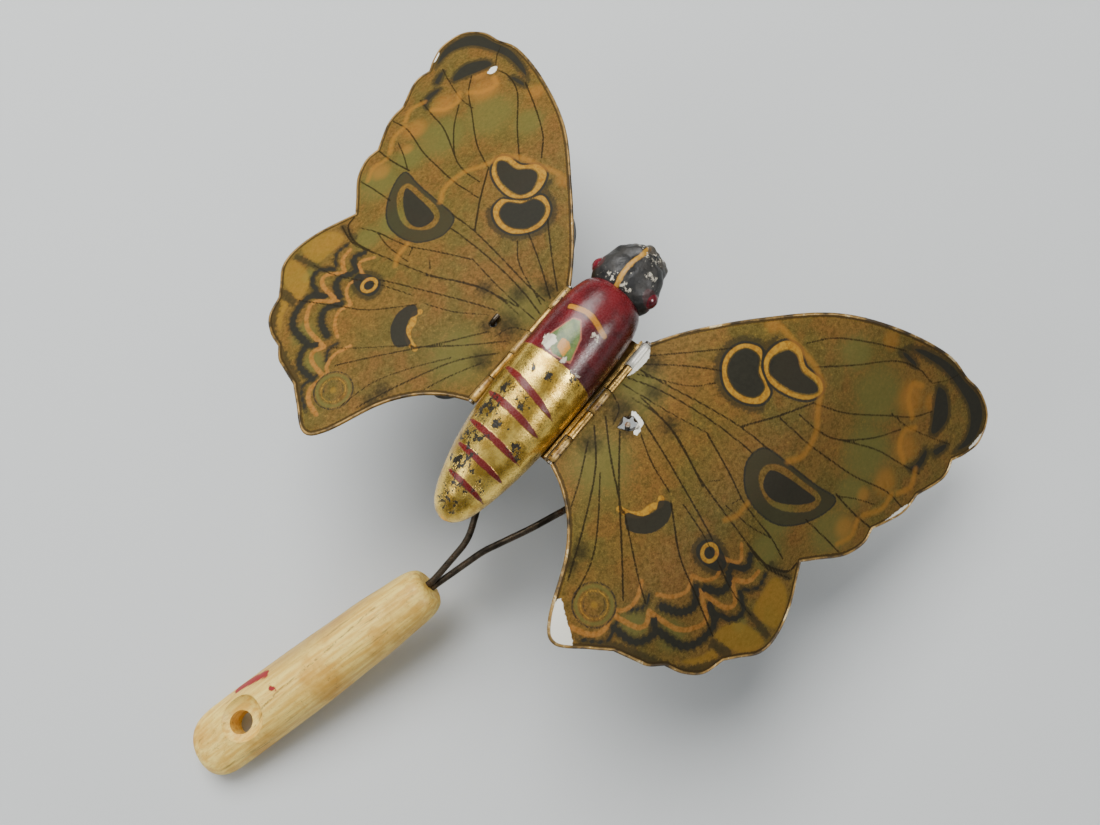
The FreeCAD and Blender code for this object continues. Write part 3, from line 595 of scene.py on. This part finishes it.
# Veins by line width.
VEIN_GROUPS = {
    0.5: [
        [(10, 2), (11.5, 20), (14.5, 36)], [(16, 4), (23, 20), (30, 27)],
        [(8, 8), (8, 22), (4, 34), (-1, 46)], [(1, 16), (-6, 27), (-10, 38)],
        [(-14, 6), (-26, 12), (-36, 16)], [(-20, 16), (-34, 26), (-45, 32), (-58, 35)],
        [(-25, 30), (-38, 46), (-44, 55)], [(-10, 44), (-13, 56), (-15, 62)],
        [(-16, 66), (-20, 80), (-21, 92)], [(0, 56), (1, 68), (4, 79)], [(33, 91), (38, 99), (42, 107)],
        [(70, 88), (72, 98), (78, 112), (82, 120)], [(91, 95), (97, 100), (103, 103)],
        [(5, 2), (2, 7), (-4, 9)], [(2, 57.5), (6, 59)], [(2, 46), (5, 49)],
    ],
    0.6: [
        [(13, 2), (16, 14), (18.5, 32), (20, 52)], [(18, 4), (19, 15), (22, 32), (24, 44), (25, 56)],
        [(20, 3), (29, 16), (35, 26)], [(24, 3), (34, 14), (44, 24)],
        [(4, 15), (0, 26), (-6, 42), (-12, 60)],
        [(10, 10), (7, 27), (1, 42), (-2, 56), (-4, 72), (-5, 84), (-1, 96)],
        [(-3, 5), (-14, 16), (-26, 30)], [(-8, 4), (-20, 14), (-38, 23), (-55, 30)],
        [(-4, 12), (-20, 24), (-34, 36), (-48, 48)], [(-12, 40), (-24, 54), (-30, 68), (-36, 84)],
        [(14, 36), (9, 50), (5, 62), (4, 78), (2, 88)],
        [(42, 57), (43, 66), (47, 76), (58, 88), (69, 96)],
        [(36, 52), (37, 66), (40, 80), (43, 92), (49, 108), (50, 119)],
        [(49, 59), (56, 72), (68, 87), (76, 97), (84, 103)],
        [(58, 50), (70, 62), (84, 75), (90, 86), (91, 95)], [(63, 43), (72, 50), (81, 62), (90, 76)],
        [(47, 76), (56, 92), (60, 104), (64, 116)], [(18, 86), (19, 98), (19.5, 108)],
    ],
    0.7: [
        [(24, 43), (36, 51), (49, 58.5)], [(33, 90), (33.5, 102), (35, 112)],
    ],
    0.8: [
        [(-4, 72), (-4, 84), (0, 93), (5, 94.5)],
    ],
}
VEINS = [(width, points) for width, group in VEIN_GROUPS.items() for points in group]
KIDNEY_FRONT = [(35, 40), (33, 34), (36, 28), (42, 26), (47, 28), (47.5, 33), (43, 36), (40, 41)]
KIDNEY_BACK = [(45.5, 40), (50, 37), (56, 39), (57, 43), (54, 48), (54.5, 54), (53, 57), (49, 54), (46, 48)]
RING_FRONT = [(35, 43.5), (31, 38), (31, 31), (36, 25.5), (42, 23.8), (48, 26), (50.5, 32), (45, 36),
              (42, 41), (40, 44)]
RING_BACK = [(43, 41), (47, 35.5), (53, 34.5), (59, 37), (60, 42.5), (56.5, 48), (57, 55), (54, 58.6),
             (48, 56), (44, 49)]
EYE_OUTER = [(14, 53), (20, 52), (25, 55), (27, 66), (29.5, 80), (32, 91), (26, 91.5), (16, 86), (9, 78),
             (6.5, 68), (8, 59)]
EYE_LINE = [(15, 60), (20, 59), (24, 64), (26, 74), (27.5, 85), (22, 85), (15, 77), (12, 68)]
EYE_CORE = [(15, 62), (20, 61), (22.5, 66), (24.5, 75), (25.8, 84), (20, 80), (14.5, 72), (13.2, 66)]
CRESCENT = [(-29, 34), (-25, 31), (-22.5, 35.5), (-18, 38), (-14.5, 37), (-12.5, 41), (-18, 43.5), (-24, 42),
            (-28, 38)]
CRESCENT_EDGE = [(-25.5, 28.5), (-24.5, 32.5), (-21.5, 35.5), (-18, 36.2), (-15.5, 38), (-13.5, 37)]
RING_BLOB = [(-20.5, 62), (-19, 57.5), (-15, 57), (-12, 60), (-12.5, 66), (-15, 70.5), (-18.5, 69)]
OCHRE_ARCS = [
    (1.8, [(-4, 59), (0, 61.5), (6, 62)]),
    (2.2, [(27, 64.5), (33, 68), (42, 66.5), (49, 61), (56, 57.5)]),
    (2.2, [(56, 57.5), (59, 50), (60, 42), (61.5, 33)]),
]
SWAGS = [
    (1.3, [(-53, 47), (-50, 50.5), (-45, 51.5), (-39, 49)]),
    (1.3, [(-39, 56), (-36, 61), (-31, 64), (-26, 62)]),
    (1.3, [(-26, 62), (-24, 67), (-20, 70), (-16, 68)]),
    (1.3, [(-14.5, 64), (-13, 70), (-10, 74), (-5.5, 70)]),
    (1.7, [(-66, 40), (-64, 46), (-60, 49), (-54, 48)]),
    (1.7, [(-54, 48), (-52, 57), (-49, 59.5), (-45, 57.5)]),
    (1.7, [(-45, 58), (-43, 70), (-38, 76), (-33, 77), (-28, 68)]),
    (1.7, [(-28, 68), (-26, 80), (-22, 83), (-17, 76)]),
    (1.7, [(-17, 76), (-13, 82), (-8, 83)]),
]
DARK_SWAGS = [
    (2.6, [(-49, 52), (-45, 55), (-41, 54)]),
    (4.4, [(-41, 60), (-38, 67), (-33, 70), (-28, 66)]),
    (4.4, [(-26, 69), (-23, 75), (-19, 76), (-16, 73)]),
    (4.0, [(-14, 72), (-10, 78), (-6, 76)]),
    (2.6, [(-67, 45), (-62, 52), (-55, 51)]),
    (4.0, [(-57, 51), (-56, 60), (-50, 64), (-46, 61)]),
    (4.4, [(-48, 64), (-46, 76), (-40, 81), (-32, 81), (-29, 75)]),
    (3.6, [(-30, 78), (-27, 86), (-22, 88), (-18, 82)]),
    (2.8, [(-17, 82), (-12, 87), (-6, 86)]),
]
HIND_WEDGES = [
    (4.0, [(-38, 86), (-37.5, 90), (-37, 94)]), (3.0, [(-21, 88), (-21.5, 96), (-22, 103)]),
    (3.4, [(-3, 86), (-2, 91), (-1, 95)]), (3.6, [(-66, 47), (-61, 57), (-56.5, 71), (-52, 83), (-42, 92)]),
]
SMALL_RING = (-16, 62)
BULLSEYE = (-55.5, 41.5)
TIP_BAND = [(90, 74), (95, 78), (99, 84), (103.6, 96), (104.6, 107), (105.4, 118), (101, 126), (92, 129.5),
            (84, 127), (80, 122.5), (90, 122.5), (96, 117), (97.5, 108), (97, 96), (94, 86)]
DARK_BLOBS = [
    [(87, 73), (91, 76), (92, 84), (89, 86), (87, 80)],
    [(83, 103), (88, 99), (93, 97), (95, 103), (91, 110), (86, 113), (79, 112), (77, 108)],
    [(61, 108), (66, 110), (73, 110), (73, 114), (67, 116), (62, 114)],
    [(74, 113), (82, 117), (80, 120.5), (73, 118)],
]
MARGIN_ARCS = [
    (2.0, [(21, 104), (27, 107), (33, 105)]), (2.2, [(36, 106), (43, 111), (50, 111)]),
    (2.2, [(52, 113), (58, 116), (64, 113)]), (2.4, [(76, 97), (79, 91), (84, 88), (87, 92)]),
    (2.4, [(62, 106), (65, 100), (70, 98), (74, 101)]),
]
GOLD_CELLS = [
    [(-36, 85), (-29, 86), (-25, 91), (-23.5, 103), (-29, 103), (-34, 97)],
    [(-19.5, 92), (-13, 90), (-5, 90), (-4.5, 97), (-9, 102), (-18, 104)],
    [(-50, 80), (-44, 85), (-39.5, 87), (-40, 91), (-46, 88.5)],
]
# Soft spots: (centre, radius).
TIP_ORANGE = [((80, 91), 9.0), ((66, 103), 8.0), ((51, 105), 7.5), ((88, 68), 5.5), ((27, 102), 6.0),
              ((86, 100), 5.0), ((41, 100), 4.0), ((60, 30), 4.0)]
GREEN_AREAS = [((-46, 70), 7.0), ((-26, 90), 4.0), ((10, 76), 9.0), ((22, 98), 12.0), ((52, 90), 15.0),
               ((70, 78), 15.0), ((0, 80), 8.0), ((38, 95), 9.0), ((12, 8), 12.0), ((-18, 14), 14.0),
               ((-52, 56), 6.0), ((74, 60), 9.0)]
SMUDGES = [((2, 8), 8.0), ((14, 13), 5.0), ((-50, 27), 5.0), ((-3, 14), 3.5), ((-14, 7), 6.0), ((22, 6), 6.0),
           ((-45, 27), 5.0), ((8, 24), 5.0)]


def soft_spots(places, spots):
    """Smooth 0 to 1 cover by round spots."""
    cover = np.zeros(len(places))
    for centre, radius in spots:
        away = np.hypot(*(places - np.array(centre)).T) / radius
        cover = np.maximum(cover, np.clip(1.25 - away, 0, 1))
    return cover


def nearest_shape(places, shapes):
    """Signed distance to the nearest of some closed shapes."""
    return np.minimum.reduce([shape_distance(places, shape) for shape in shapes])


def line_along(away, offset, half_width):
    """Distance to a line that runs at an offset from a shape's edge or a centre."""
    return np.abs(away - offset) - half_width


def print_layers(side, places, rim):
    """All the printed inks as distances or covers at each place."""
    s, t = places.T
    saw = 0.3 * np.sin(np.arctan2(t - 40, s + 20) * 110)
    kidneys = nearest_shape(places, [KIDNEY_FRONT, KIDNEY_BACK])
    kidney_ring = nearest_shape(places, [RING_FRONT, RING_BACK])
    eye = shape_distance(places, EYE_OUTER)
    eye_line = shape_distance(places, EYE_LINE)
    blob = shape_distance(places, RING_BLOB)
    tip_marks = nearest_shape(places, DARK_BLOBS + [TIP_BAND])
    small_ring = line_along(np.hypot(s - SMALL_RING[0], t - SMALL_RING[1]), 2.9, 0)
    bull = np.hypot(s - BULLSEYE[0], t - BULLSEYE[1])
    clear_of_bull = 7.4 - bull
    swags = np.maximum(strokes(places, DARK_SWAGS) + saw, clear_of_bull)
    furry = np.maximum(kidney_ring - 2.9, s * 0.5 + t - 63)
    wedges = strokes(places, HIND_WEDGES) + saw

    layers = {"rim": rim - 1.0, "vein": strokes(places, VEINS), "charcoal": np.maximum(eye, 0.4 - eye_line)}
    ink = np.minimum.reduce([
        kidneys, nearest_shape(places, [EYE_CORE, CRESCENT]), blob, line_along(kidney_ring, 0.4, 0.5),
        line_along(bull, 7.3, 0.3), line_along(bull, 3.6, 0.15), line_along(eye, -0.3, 0.35),
        swags + 0.9, tip_marks + 1.6,
    ])
    layers["ink"] = np.maximum(ink, 0.8 - small_ring)
    layers["soft_ink"] = np.minimum.reduce([furry, blob - 1.8, wedges, swags, tip_marks])
    layers["arc"] = strokes(places, OCHRE_ARCS + MARGIN_ARCS)
    layers["yellow"] = np.minimum.reduce([
        np.maximum(kidney_ring + 0.1, 0.5 - kidneys), np.abs(eye_line) + 0.05, small_ring - 0.75,
        strokes(places, [(2.2, CRESCENT_EDGE)]), line_along(bull, 4.6, 0.15),
    ])
    layers["swag"] = np.maximum(strokes(places, SWAGS), clear_of_bull)

    green_ring = np.clip(1 - np.abs(bull - 6.1) / 1.2, 0, 1)
    layers["green"] = np.maximum(soft_spots(places, GREEN_AREAS), green_ring)
    layers["orange"] = soft_spots(places, TIP_ORANGE)
    cells = nearest_shape(places, GOLD_CELLS)
    golden = np.maximum(soft_spots(places, [(BULLSEYE, 1.6)]), np.clip(0.5 - cells / 2.5, 0, 1))
    layers["gold"] = np.maximum(golden, np.clip((2.2 - rim) / 1.6, 0, 0.55) * (t > 3))
    layers["smudge"] = soft_spots(places, SMUDGES) * 0.8
    layers["chip"] = chips(side, places)
    return layers


LEFT_CHIPS = [[(88, 95), (90, 94), (92.5, 95.5), (91, 97.5), (88, 97)]]
LEFT_RUBS = [(1.6, [(84, 127.6), (88, 129.2)])]
RIGHT_CHIPS = [
    [(13, -2), (18, -3), (26.5, -3), (27, 1.0), (24, 3.2), (19, 3.4), (14, 2)],
    [(-61, 31.5), (-64, 36), (-70, 44), (-73.5, 40), (-72, 36), (-66, 32)],
]
RIGHT_RUBS = [(1.4, [(88, 129), (97, 130)]), (1.2, [(40, 116), (52, 120)])]


def chips(side, places):
    """Distance to the bare patches and rubbed edges of each wing."""
    if side == "left":
        return np.minimum(nearest_shape(places, LEFT_CHIPS), strokes(places, LEFT_RUBS))
    torn_edge = shape_distance(places, TORN_HOLE, False) - 1.5
    outer_half = 14.6 - places.sum(1)
    best = np.minimum(nearest_shape(places, RIGHT_CHIPS), np.maximum(torn_edge, outer_half))
    return np.minimum(best, strokes(places, RIGHT_RUBS))


def wing_sheet(side, material, back_material):
    """Fine grid of the whole wing, its rim and holes snapped to their outlines."""
    path = outline_path()
    low, high = path.min(0) - CELL, path.max(0) + CELL
    s_values = np.arange(low[0], high[0], CELL)
    t_values = np.arange(low[1], high[1], CELL)
    grid = np.stack(np.meshgrid(s_values, t_values, indexing="ij"), -1).reshape(-1, 2)
    rim, nearest = to_path(grid, path, True)
    inside = within(grid, path)
    hole = hole_path(side)
    hole_away, hole_nearest = to_path(grid, hole, True)
    kept = inside & ~within(grid, hole)
    rows, columns = len(s_values), len(t_values)
    index = np.arange(rows * columns).reshape(rows, columns)
    cells = np.stack([index[:-1, :-1], index[1:, :-1], index[1:, 1:], index[:-1, 1:]], -1).reshape(-1, 4)
    cells = cells[kept[cells].any(1)]
    used = np.unique(cells)
    renumber = np.zeros(rows * columns, int)
    renumber[used] = np.arange(len(used))
    moved = np.where((hole_away < rim)[:, None], hole_nearest, nearest)
    places = np.where(kept[:, None], grid, moved)[used]
    rim = np.where(inside, rim, 0.0)[used]
    faces = renumber[cells]
    if side == "right":
        faces = faces[:, ::-1]
    piece = new_object("wing_%s_sheet" % side, wing_points(side, places), faces, material)
    piece.data.materials.append(back_material)
    for name, values in print_layers(side, places, rim).items():
        keep_on_mesh(piece, name, values)
    thick = piece.modifiers.new("sheet", "SOLIDIFY")
    thick.thickness = WING_SHEET * MM
    thick.offset = 0.0
    thick.material_offset = 1
    thick.material_offset_rim = 1
    return piece


def hole_path(side):
    if side == "right":
        return np.asarray(TORN_HOLE, float)
    turn = np.linspace(0, 2 * math.pi, 20, endpoint=False)
    return np.array(LINK_HOLE) + LINK_HOLE_R * np.column_stack([np.cos(turn), np.sin(turn)])


def wing_hem(side):
    """Rolled edge all round except along the hinge."""
    path = np.vstack([outline_path(), OUTLINE_RUNS[-1][-1]])
    return tube_mesh("wing_%s_hem" % side, wing_points(side, path), HEM_R * MM, hem_paint(side))


# Each tongue: the two corners of TORN_HOLE that it hangs from, how far it reaches to the middle,
# and how far its tip is bent up, or down where below zero. The tongues bent down are dark, as painted shade
# that fills the hole.
TONGUES = [(2, 3, -0.2, 1.5), (3, 4, 0.3, -1.0), (5, 0, 0.3, -0.8), (0, 1, 0.35, -1.0), (4, 5, 0.35, -0.9)]


def torn_tongues(hole_shade_material):
    """Bent tongues of tin round the right wing's torn hole: primer up, or dark and pressed in, their dark
    standing in for the shade inside the hole.
    """
    tongues = []
    primer = Paint("bare_primer", roughness=0.6)
    cloud = primer.noise(1.2, 4.0, 0.6)
    primer.set("Base Color", primer.mix(primer.band(cloud, 0.4, 0.62), srgb(226, 222, 206), srgb(96, 88, 70)))
    edge = np.array(TORN_HOLE, float)
    middle = edge.mean(0)
    across = 6
    share = np.linspace(0, 1, across)[:, None]
    for number, (first, second, reach, lift) in enumerate(TONGUES):
        a, b = edge[first], edge[second]
        tip = (a + b) / 2 * (1 - reach) + middle * reach
        rows = [wing_points("right", a + (b - a) * share)]
        for step in (0.33, 0.67, 1.0):
            start = a + (tip - a) * step * 0.8
            end = b + (tip - b) * step * 0.8
            rows.append(wing_points("right", start + (end - start) * share, lift * step ** 1.5))
        # Tongues bent down take the dark material: painted shade inside the torn hole.
        material = primer.material if lift > 0 else hole_shade_material
        faces = strip_faces(len(rows), across, False)
        piece = new_object("torn_tongue_%d" % number, np.vstack(rows), faces, material)
        thick = piece.modifiers.new("sheet", "SOLIDIFY")
        thick.thickness = 0.4 * MM
        tongues.append(piece)
    return tongues


def wing_knuckles(side, material):
    """Rolled tin knuckles round the hinge pin, each with its seam left a little open."""
    pieces = []
    turn = np.linspace(*KNUCKLE_ARC, 28)
    half = len(turn)
    profile = [(KNUCKLE_OUTER_R * math.cos(a), KNUCKLE_OUTER_R * math.sin(a)) for a in turn]
    profile += [(KNUCKLE_INNER_R * math.cos(a), KNUCKLE_INNER_R * math.sin(a)) for a in turn[::-1]]
    count = len(profile)
    for number, (low, high) in enumerate(KNUCKLE_SPANS):
        stations = np.linspace(low, high, 6)
        points = [(x, SIDES[side] * (HINGE_Y + y), z) for x in stations for y, z in profile]
        faces = strip_faces(len(stations), count, True)
        for end, flip in ((0, 1), ((len(stations) - 1) * count, -1)):
            for j in range(half - 1):
                quad = (end + j, end + j + 1, end + count - 2 - j, end + count - 1 - j)
                faces.append(quad[::flip])
        pieces.append(new_object("knuckle_%s_%d" % (side, number), place(points), faces, material))
    return pieces


# ---- body, head and eyes ----
SADDLE_TOP = -5.0
SADDLE_BACK = -27.6
NARROW_HALF = 14.9
NARROW_BELOW = 1.2
THORAX_BACK = -2.4
BODY_SECTIONS = [
    (-65.6, 1.2, 1.2, -5.2), (-64.6, 3.6, 3.4, -5.0), (-62.4, 5.9, 5.6, -4.6), (-59.0, 7.9, 7.7, -3.9),
    (-53.0, 10.0, 9.8, -2.2), (-43.0, 12.4, 12.2, 0.2), (-30.0, 14.2, 14.0, 2.2), (-15.0, 14.9, 15.2, 4.0),
    (0.0, 15.0, 15.8, 5.6), (14.0, 14.8, 15.6, 6.8), (23.0, 14.0, 14.0, 7.8), (28.4, 12.6, 12.0, 8.6),
    (30.8, 11.2, 10.4, 8.8), (32.0, 9.4, 8.8, 9.2),
]
# The red bands, painted on the body as seen from above: width, start and end.
BAND_LEAVES = [
    (2.5, (-12.6, 13.6), (-18.0, -12.6)), (2.6, (-23.2, 12.6), (-25.6, -12.6)),
    (2.4, (-34.4, 11.2), (-36.2, -12.4)), (2.2, (-43.0, 9.4), (-44.2, -11.6)),
    (2.0, (-51.8, 6.6), (-53.0, -10.0)),
]


def leaves(places, shapes):
    """Distance to the nearest of some long brush strokes that taper to both ends."""
    best = np.full(len(places), 1e9)
    for width, start, end in shapes:
        start, way = np.array(start), np.array(end) - np.array(start)
        share = (places - start) @ way / (way @ way)
        foot = start + np.clip(share, 0, 1)[:, None] * way
        taper = np.clip(1 - np.abs(2 * share - 1) ** 4, 0, 1)
        best = np.minimum(best, np.hypot(*(places - foot).T) - width / 2 * taper)
    return best


EMBLEM = [(12.2, 2.6), (12.9, 0.0), (7.8, -4.0), (-0.4, -6.0), (-1.6, 0.0), (1.0, 5.8), (4.6, 5.2)]
EMBLEM_WEDGE = [(4.6, 1.4), (5.0, -1.4), (3.4, -3.2), (-0.4, -3.4), (1.0, 0.6)]
EMBLEM_HEART = [(4.0, 4.8), (2.4, 1.8), (0.2, 2.4), (-1.4, 1.4), (-1.2, 4.8), (1.2, 6.2)]
SHOULDER_BAR = [(1.9, [(15.6, 6.6), (16.6, -1), (14.4, -8.8)])]
WORN_BODY = [((-20, 6), 6.5), ((-20, -2), 4.5), ((-29, 7), 7.5), ((-31, 0), 4.5), ((-39, 5), 7.5),
             ((-48, 3), 8.0), ((-56, 0), 6.0), ((-62, -1), 8.0), ((-9, 4), 4.0), ((-8, -3), 3.0),
             ((2, 5), 3.5), ((-3, -10), 4.0), ((12, -7), 2.5), ((-1, -4), 2.5), ((-34, -9), 4.0),
             ((-50, -6), 4.0)]


def body_shell(material):
    """Abdomen and thorax in one, flat on the saddle, narrowed to clear the hinges and uneven above."""
    def pressed(points):
        points = points.copy()
        over_saddle = points[:, 0] > SADDLE_BACK
        points[:, 2] = np.where(over_saddle, np.maximum(points[:, 2], SADDLE_TOP), points[:, 2])
        narrow = over_saddle & (points[:, 2] < NARROW_BELOW)
        narrowed = np.clip(points[:, 1], -NARROW_HALF, NARROW_HALF)
        points[:, 1] = np.where(narrow, narrowed, points[:, 1])
        swell = 0.22 * lumps(points, 22.0, 3)
        points[:, 2] += np.where(points[:, 2] > 2, swell, 0)
        return place(points)

    piece, points = loft_mesh("body_shell", BODY_SECTIONS, material, pressed)
    plan = points[:, :2]
    upper = points[:, 2] > 0
    on_top = {
        "bands": leaves(plan, BAND_LEAVES),
        "bar": strokes(plan, SHOULDER_BAR),
        "emblem": shape_distance(plan, EMBLEM, False),
        "wedge": shape_distance(plan, EMBLEM_WEDGE, False),
        "heart": shape_distance(plan, EMBLEM_HEART),
    }
    for name, values in on_top.items():
        keep_on_mesh(piece, name, np.where(upper, values, OUT_OF_REACH))
    keep_on_mesh(piece, "thorax", THORAX_BACK - points[:, 0])
    keep_on_mesh(piece, "worn", soft_spots(plan, WORN_BODY) * np.where(upper, 1.0, 0.5))
    return piece


HEAD_SECTIONS = [
    (30.6, 10.0, 8.2, 9.2), (32.4, 11.6, 9.0, 9.6), (35.0, 12.5, 9.5, 10.2), (38.5, 12.6, 9.7, 10.4),
    (42.5, 11.8, 9.3, 10.7), (46.5, 10.6, 8.6, 10.9), (49.5, 9.2, 7.4, 11.2), (51.4, 7.2, 5.6, 11.6),
    (52.4, 3.6, 3.6, 11.8),
]
HEAD_MIDDLE = (42.0, 0.0, 10.8)
SNOUT_END = 54.4
HEAD_STRIPE = [(1.7, [(32, -0.4), (36, 0.2), (41, 0.3), (47, -0.6), (50.6, -0.6)])]
WORN_HEAD = [((49, -4), 4.5), ((50, 2), 2.5), ((34, 3), 3.0), ((33, -3), 3.0), ((42, -8), 3.0)]


def head_shell(material):
    """Round head with a low ridge, blunt and lumpy at the broken snout."""
    def battered(points):
        points = points.copy()
        rough = lumps(points, 9.0, 11)
        snout = np.clip((points[:, 0] - HEAD_MIDDLE[0]) / 8, 0, 1)
        outward = points - HEAD_MIDDLE
        outward /= np.linalg.norm(outward, axis=1)[:, None]
        points += outward * (rough * (0.35 + 1.3 * snout) - 0.5 * snout)[:, None]
        points[:, 0] = np.minimum(points[:, 0], SNOUT_END)
        ridge = np.exp(-(points[:, 1] / 1.2) ** 2) * (points[:, 2] > 12)
        points[:, 2] += 0.5 * ridge
        return place(points)

    piece, points = loft_mesh("head_shell", HEAD_SECTIONS, material, battered, 120, 120)
    upper = points[:, 2] > 9
    plan = points[:, :2]
    layers = {
        "stripe": np.where(upper, strokes(plan, HEAD_STRIPE), OUT_OF_REACH),
        "cheek": np.hypot(plan[:, 0] - 36.5, np.abs(plan[:, 1]) - 12.0) - 3.0,
        "scuffed": soft_spots(plan, WORN_HEAD),
        "broken": 50.5 - plan[:, 0] + 1.5 * np.sin(plan[:, 1]),
    }
    for name, values in layers.items():
        keep_on_mesh(piece, name, values)
    return piece


# ---- handle ----
HANDLE_FRONT = np.array([-87.7, 3.4, -70.8])
HANDLE_END = np.array([-202.4, 37.8, -96.6])
HANDLE_ALONG = (HANDLE_END - HANDLE_FRONT) / np.linalg.norm(HANDLE_END - HANDLE_FRONT)
HANDLE_WIDE = np.cross((0, 0, 1), HANDLE_ALONG) / np.hypot(*HANDLE_ALONG[:2])
HANDLE_HIGH = np.cross(HANDLE_ALONG, HANDLE_WIDE)
# Marks on the grip, seen from above: along it from the front, and across.
RED_STREAKS = [(2.6, [(91, -12), (83, -11), (75, -9.7)]), (1.6, [(74.6, -2.6), (73, -0.8)])]
GRIP_CRACK = [(0.3, [(20, -4), (48, -1), (76, 1), (93, 5)])]


def mark_handle(piece):
    """Keeps on the grip's mesh where its red paint, its crack and the painted shade along one side lie."""
    points = (np.array([v.co for v in piece.data.vertices]) - ORIGIN) / MM - HANDLE_FRONT
    plan = np.column_stack([points @ HANDLE_ALONG, points @ HANDLE_WIDE])
    upper = points @ HANDLE_HIGH > 0
    red = strokes(plan, RED_STREAKS)
    crack = strokes(plan, GRIP_CRACK)
    # Painted shade: darker along one side of the grip, most about its middle.
    one_side = np.clip((-plan[:, 1] - 2) / 9, 0, 1)
    mid_grip = np.clip(1.2 - np.abs(plan[:, 0] - 50) / 50, 0, 1)
    keep_on_mesh(piece, "shade", one_side * mid_grip)
    keep_on_mesh(piece, "red_streak", np.where(upper, red, OUT_OF_REACH))
    keep_on_mesh(piece, "crack", np.where(upper, crack, OUT_OF_REACH))


# ---- camera, light and floor ----
FLOOR_HALF = 3.0
SENSOR_WIDTH = 36.0
LENS = 29.45
EYE = (-75.83, -85.75, 298.81)
AHEAD = (0.1972, 0.2511, -0.9477)
PICTURE_UP = math.radians(39.48)


def floor_piece():
    corners = [(-1, -1), (1, -1), (1, 1), (-1, 1)]
    points = [(FLOOR_HALF * x, FLOOR_HALF * y, lowest[2]) for x, y in corners]
    return new_object("floor", points, [(0, 1, 2, 3)], floor_paint(), False)


def camera():
    """Almost straight down, with the top of the picture towards PICTURE_UP."""
    data = bpy.data.cameras.new("camera")
    data.sensor_width = SENSOR_WIDTH
    data.lens = LENS
    data.clip_start = 0.01
    data.dof.use_dof = False
    ahead = Vector(AHEAD).normalized()
    picture_up = Vector((math.cos(PICTURE_UP), math.sin(PICTURE_UP), 0))
    right = ahead.cross(picture_up).normalized()
    up = right.cross(ahead)
    turn = Matrix((right, up, -ahead)).transposed().to_4x4()
    piece = add_object("camera", data)
    piece.matrix_world = Matrix.Translation(Vector(place(EYE))) @ turn
    bpy.context.scene.camera = piece


LIT_SPOT = Vector((0, 0, 0.05))


def area_light(name, place_m, size, power, color, only_shine=False):
    """Round lamp aimed at LIT_SPOT; with only_shine it gives reflections and no other light."""
    data = bpy.data.lights.new(name, "AREA")
    data.shape = "DISK"
    data.size = size
    data.energy = power
    data.color = color
    piece = add_object(name, data)
    piece.visible_diffuse = not only_shine
    piece.location = place_m
    piece.rotation_euler = (LIT_SPOT - Vector(place_m)).to_track_quat("-Z", "Y").to_euler()


def lights():
    """Three lamps, and a sky that is dim at the horizon and brighter above."""
    world = bpy.data.worlds.new("studio")
    bpy.context.scene.world = world
    world.use_nodes = True
    tree = world.node_tree
    background = tree.nodes["Background"]
    background.inputs["Color"].default_value = (0.96, 0.98, 1.0, 1.0)
    where = tree.nodes.new("ShaderNodeTexCoord")
    split = tree.nodes.new("ShaderNodeSeparateXYZ")
    height = tree.nodes.new("ShaderNodeMapRange")
    tree.links.new(where.outputs["Generated"], split.inputs[0])
    tree.links.new(split.outputs[2], height.inputs["Value"])
    for name, setting in {"From Min": 0.0, "From Max": 0.9, "To Min": 0.08, "To Max": 0.5}.items():
        height.inputs[name].default_value = setting
    tree.links.new(height.outputs["Result"], background.inputs["Strength"])
    area_light("overhead", (0.4, 0.65, 1.45), 1.3, 38.0, (1.0, 0.99, 0.97))
    area_light("side", (-1.2, 0.6, 1.0), 0.8, 5.0, (0.97, 0.98, 1.0))
    area_light("low_right", (0.3, -1.2, 0.9), 0.5, 13.0, (1.0, 0.98, 0.95), True)


# ---- putting it together ----
def dress(node, material):
    """Gives a CAD node its material."""
    piece = frame["nodes"][node]
    piece.data.materials.clear()
    piece.data.materials.append(material)


def main():
    tin = steel_paint("dull_tin", srgb(150, 140, 118), srgb(96, 88, 72), srgb(96, 62, 34), 0.42)
    steel = steel_paint("tarnished_steel", srgb(128, 120, 108), srgb(72, 66, 58), srgb(88, 56, 32), 0.4)
    wire = steel_paint("dark_wire", srgb(92, 82, 68), srgb(46, 40, 32), srgb(70, 46, 28), 0.36)
    brass = steel_paint("dull_brass", srgb(176, 140, 80), srgb(112, 86, 46), srgb(80, 58, 34), 0.4)
    gold_tin = steel_paint("hinge_brass", srgb(190, 156, 88), srgb(110, 86, 44), srgb(62, 44, 26), 0.38)
    enamel = enamel_paint()
    dress("saddle", gold_tin)
    dress("axle_yoke", tin)
    dress("crossbar", tin)
    for node in ("body_screws", "crossbar_rivets", "crank_axle", "axle_washers"):
        dress(node, steel)
    for side in SIDES:
        for node in ("hinge_pin_", "hub_", "hub_rivets_"):
            dress(node + side, steel)
        dress("fork_wire_" + side, wire)
        dress("link_" + side, wire)
        dress("wheel_" + side, enamel)
        dress("eye_" + side, eye_paint())
    dress("axle_caps", brass)
    dress("neck_dowel", wood_paint((1, 0, 0)))
    dress("handle", wood_paint(HANDLE_ALONG))
    mark_handle(frame["nodes"]["handle"])

    shell = body_shell(body_paint())
    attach(shell, "chassis")
    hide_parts("body_moulding")
    skull = head_shell(head_paint())
    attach(skull, "chassis")
    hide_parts("head")

    print_material = litho_paint()
    for side in SIDES:
        sheet = wing_sheet(side, print_material, tin)
        pieces = [sheet, wing_hem(side)] + wing_knuckles(side, knuckle_paint(side))
        if side == "right":
            pieces += torn_tongues(wire)
        for piece in pieces:
            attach(piece, "wing_" + side)
            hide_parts("wing_" + side)

    floor = floor_piece()
    camera()
    lights()


main()
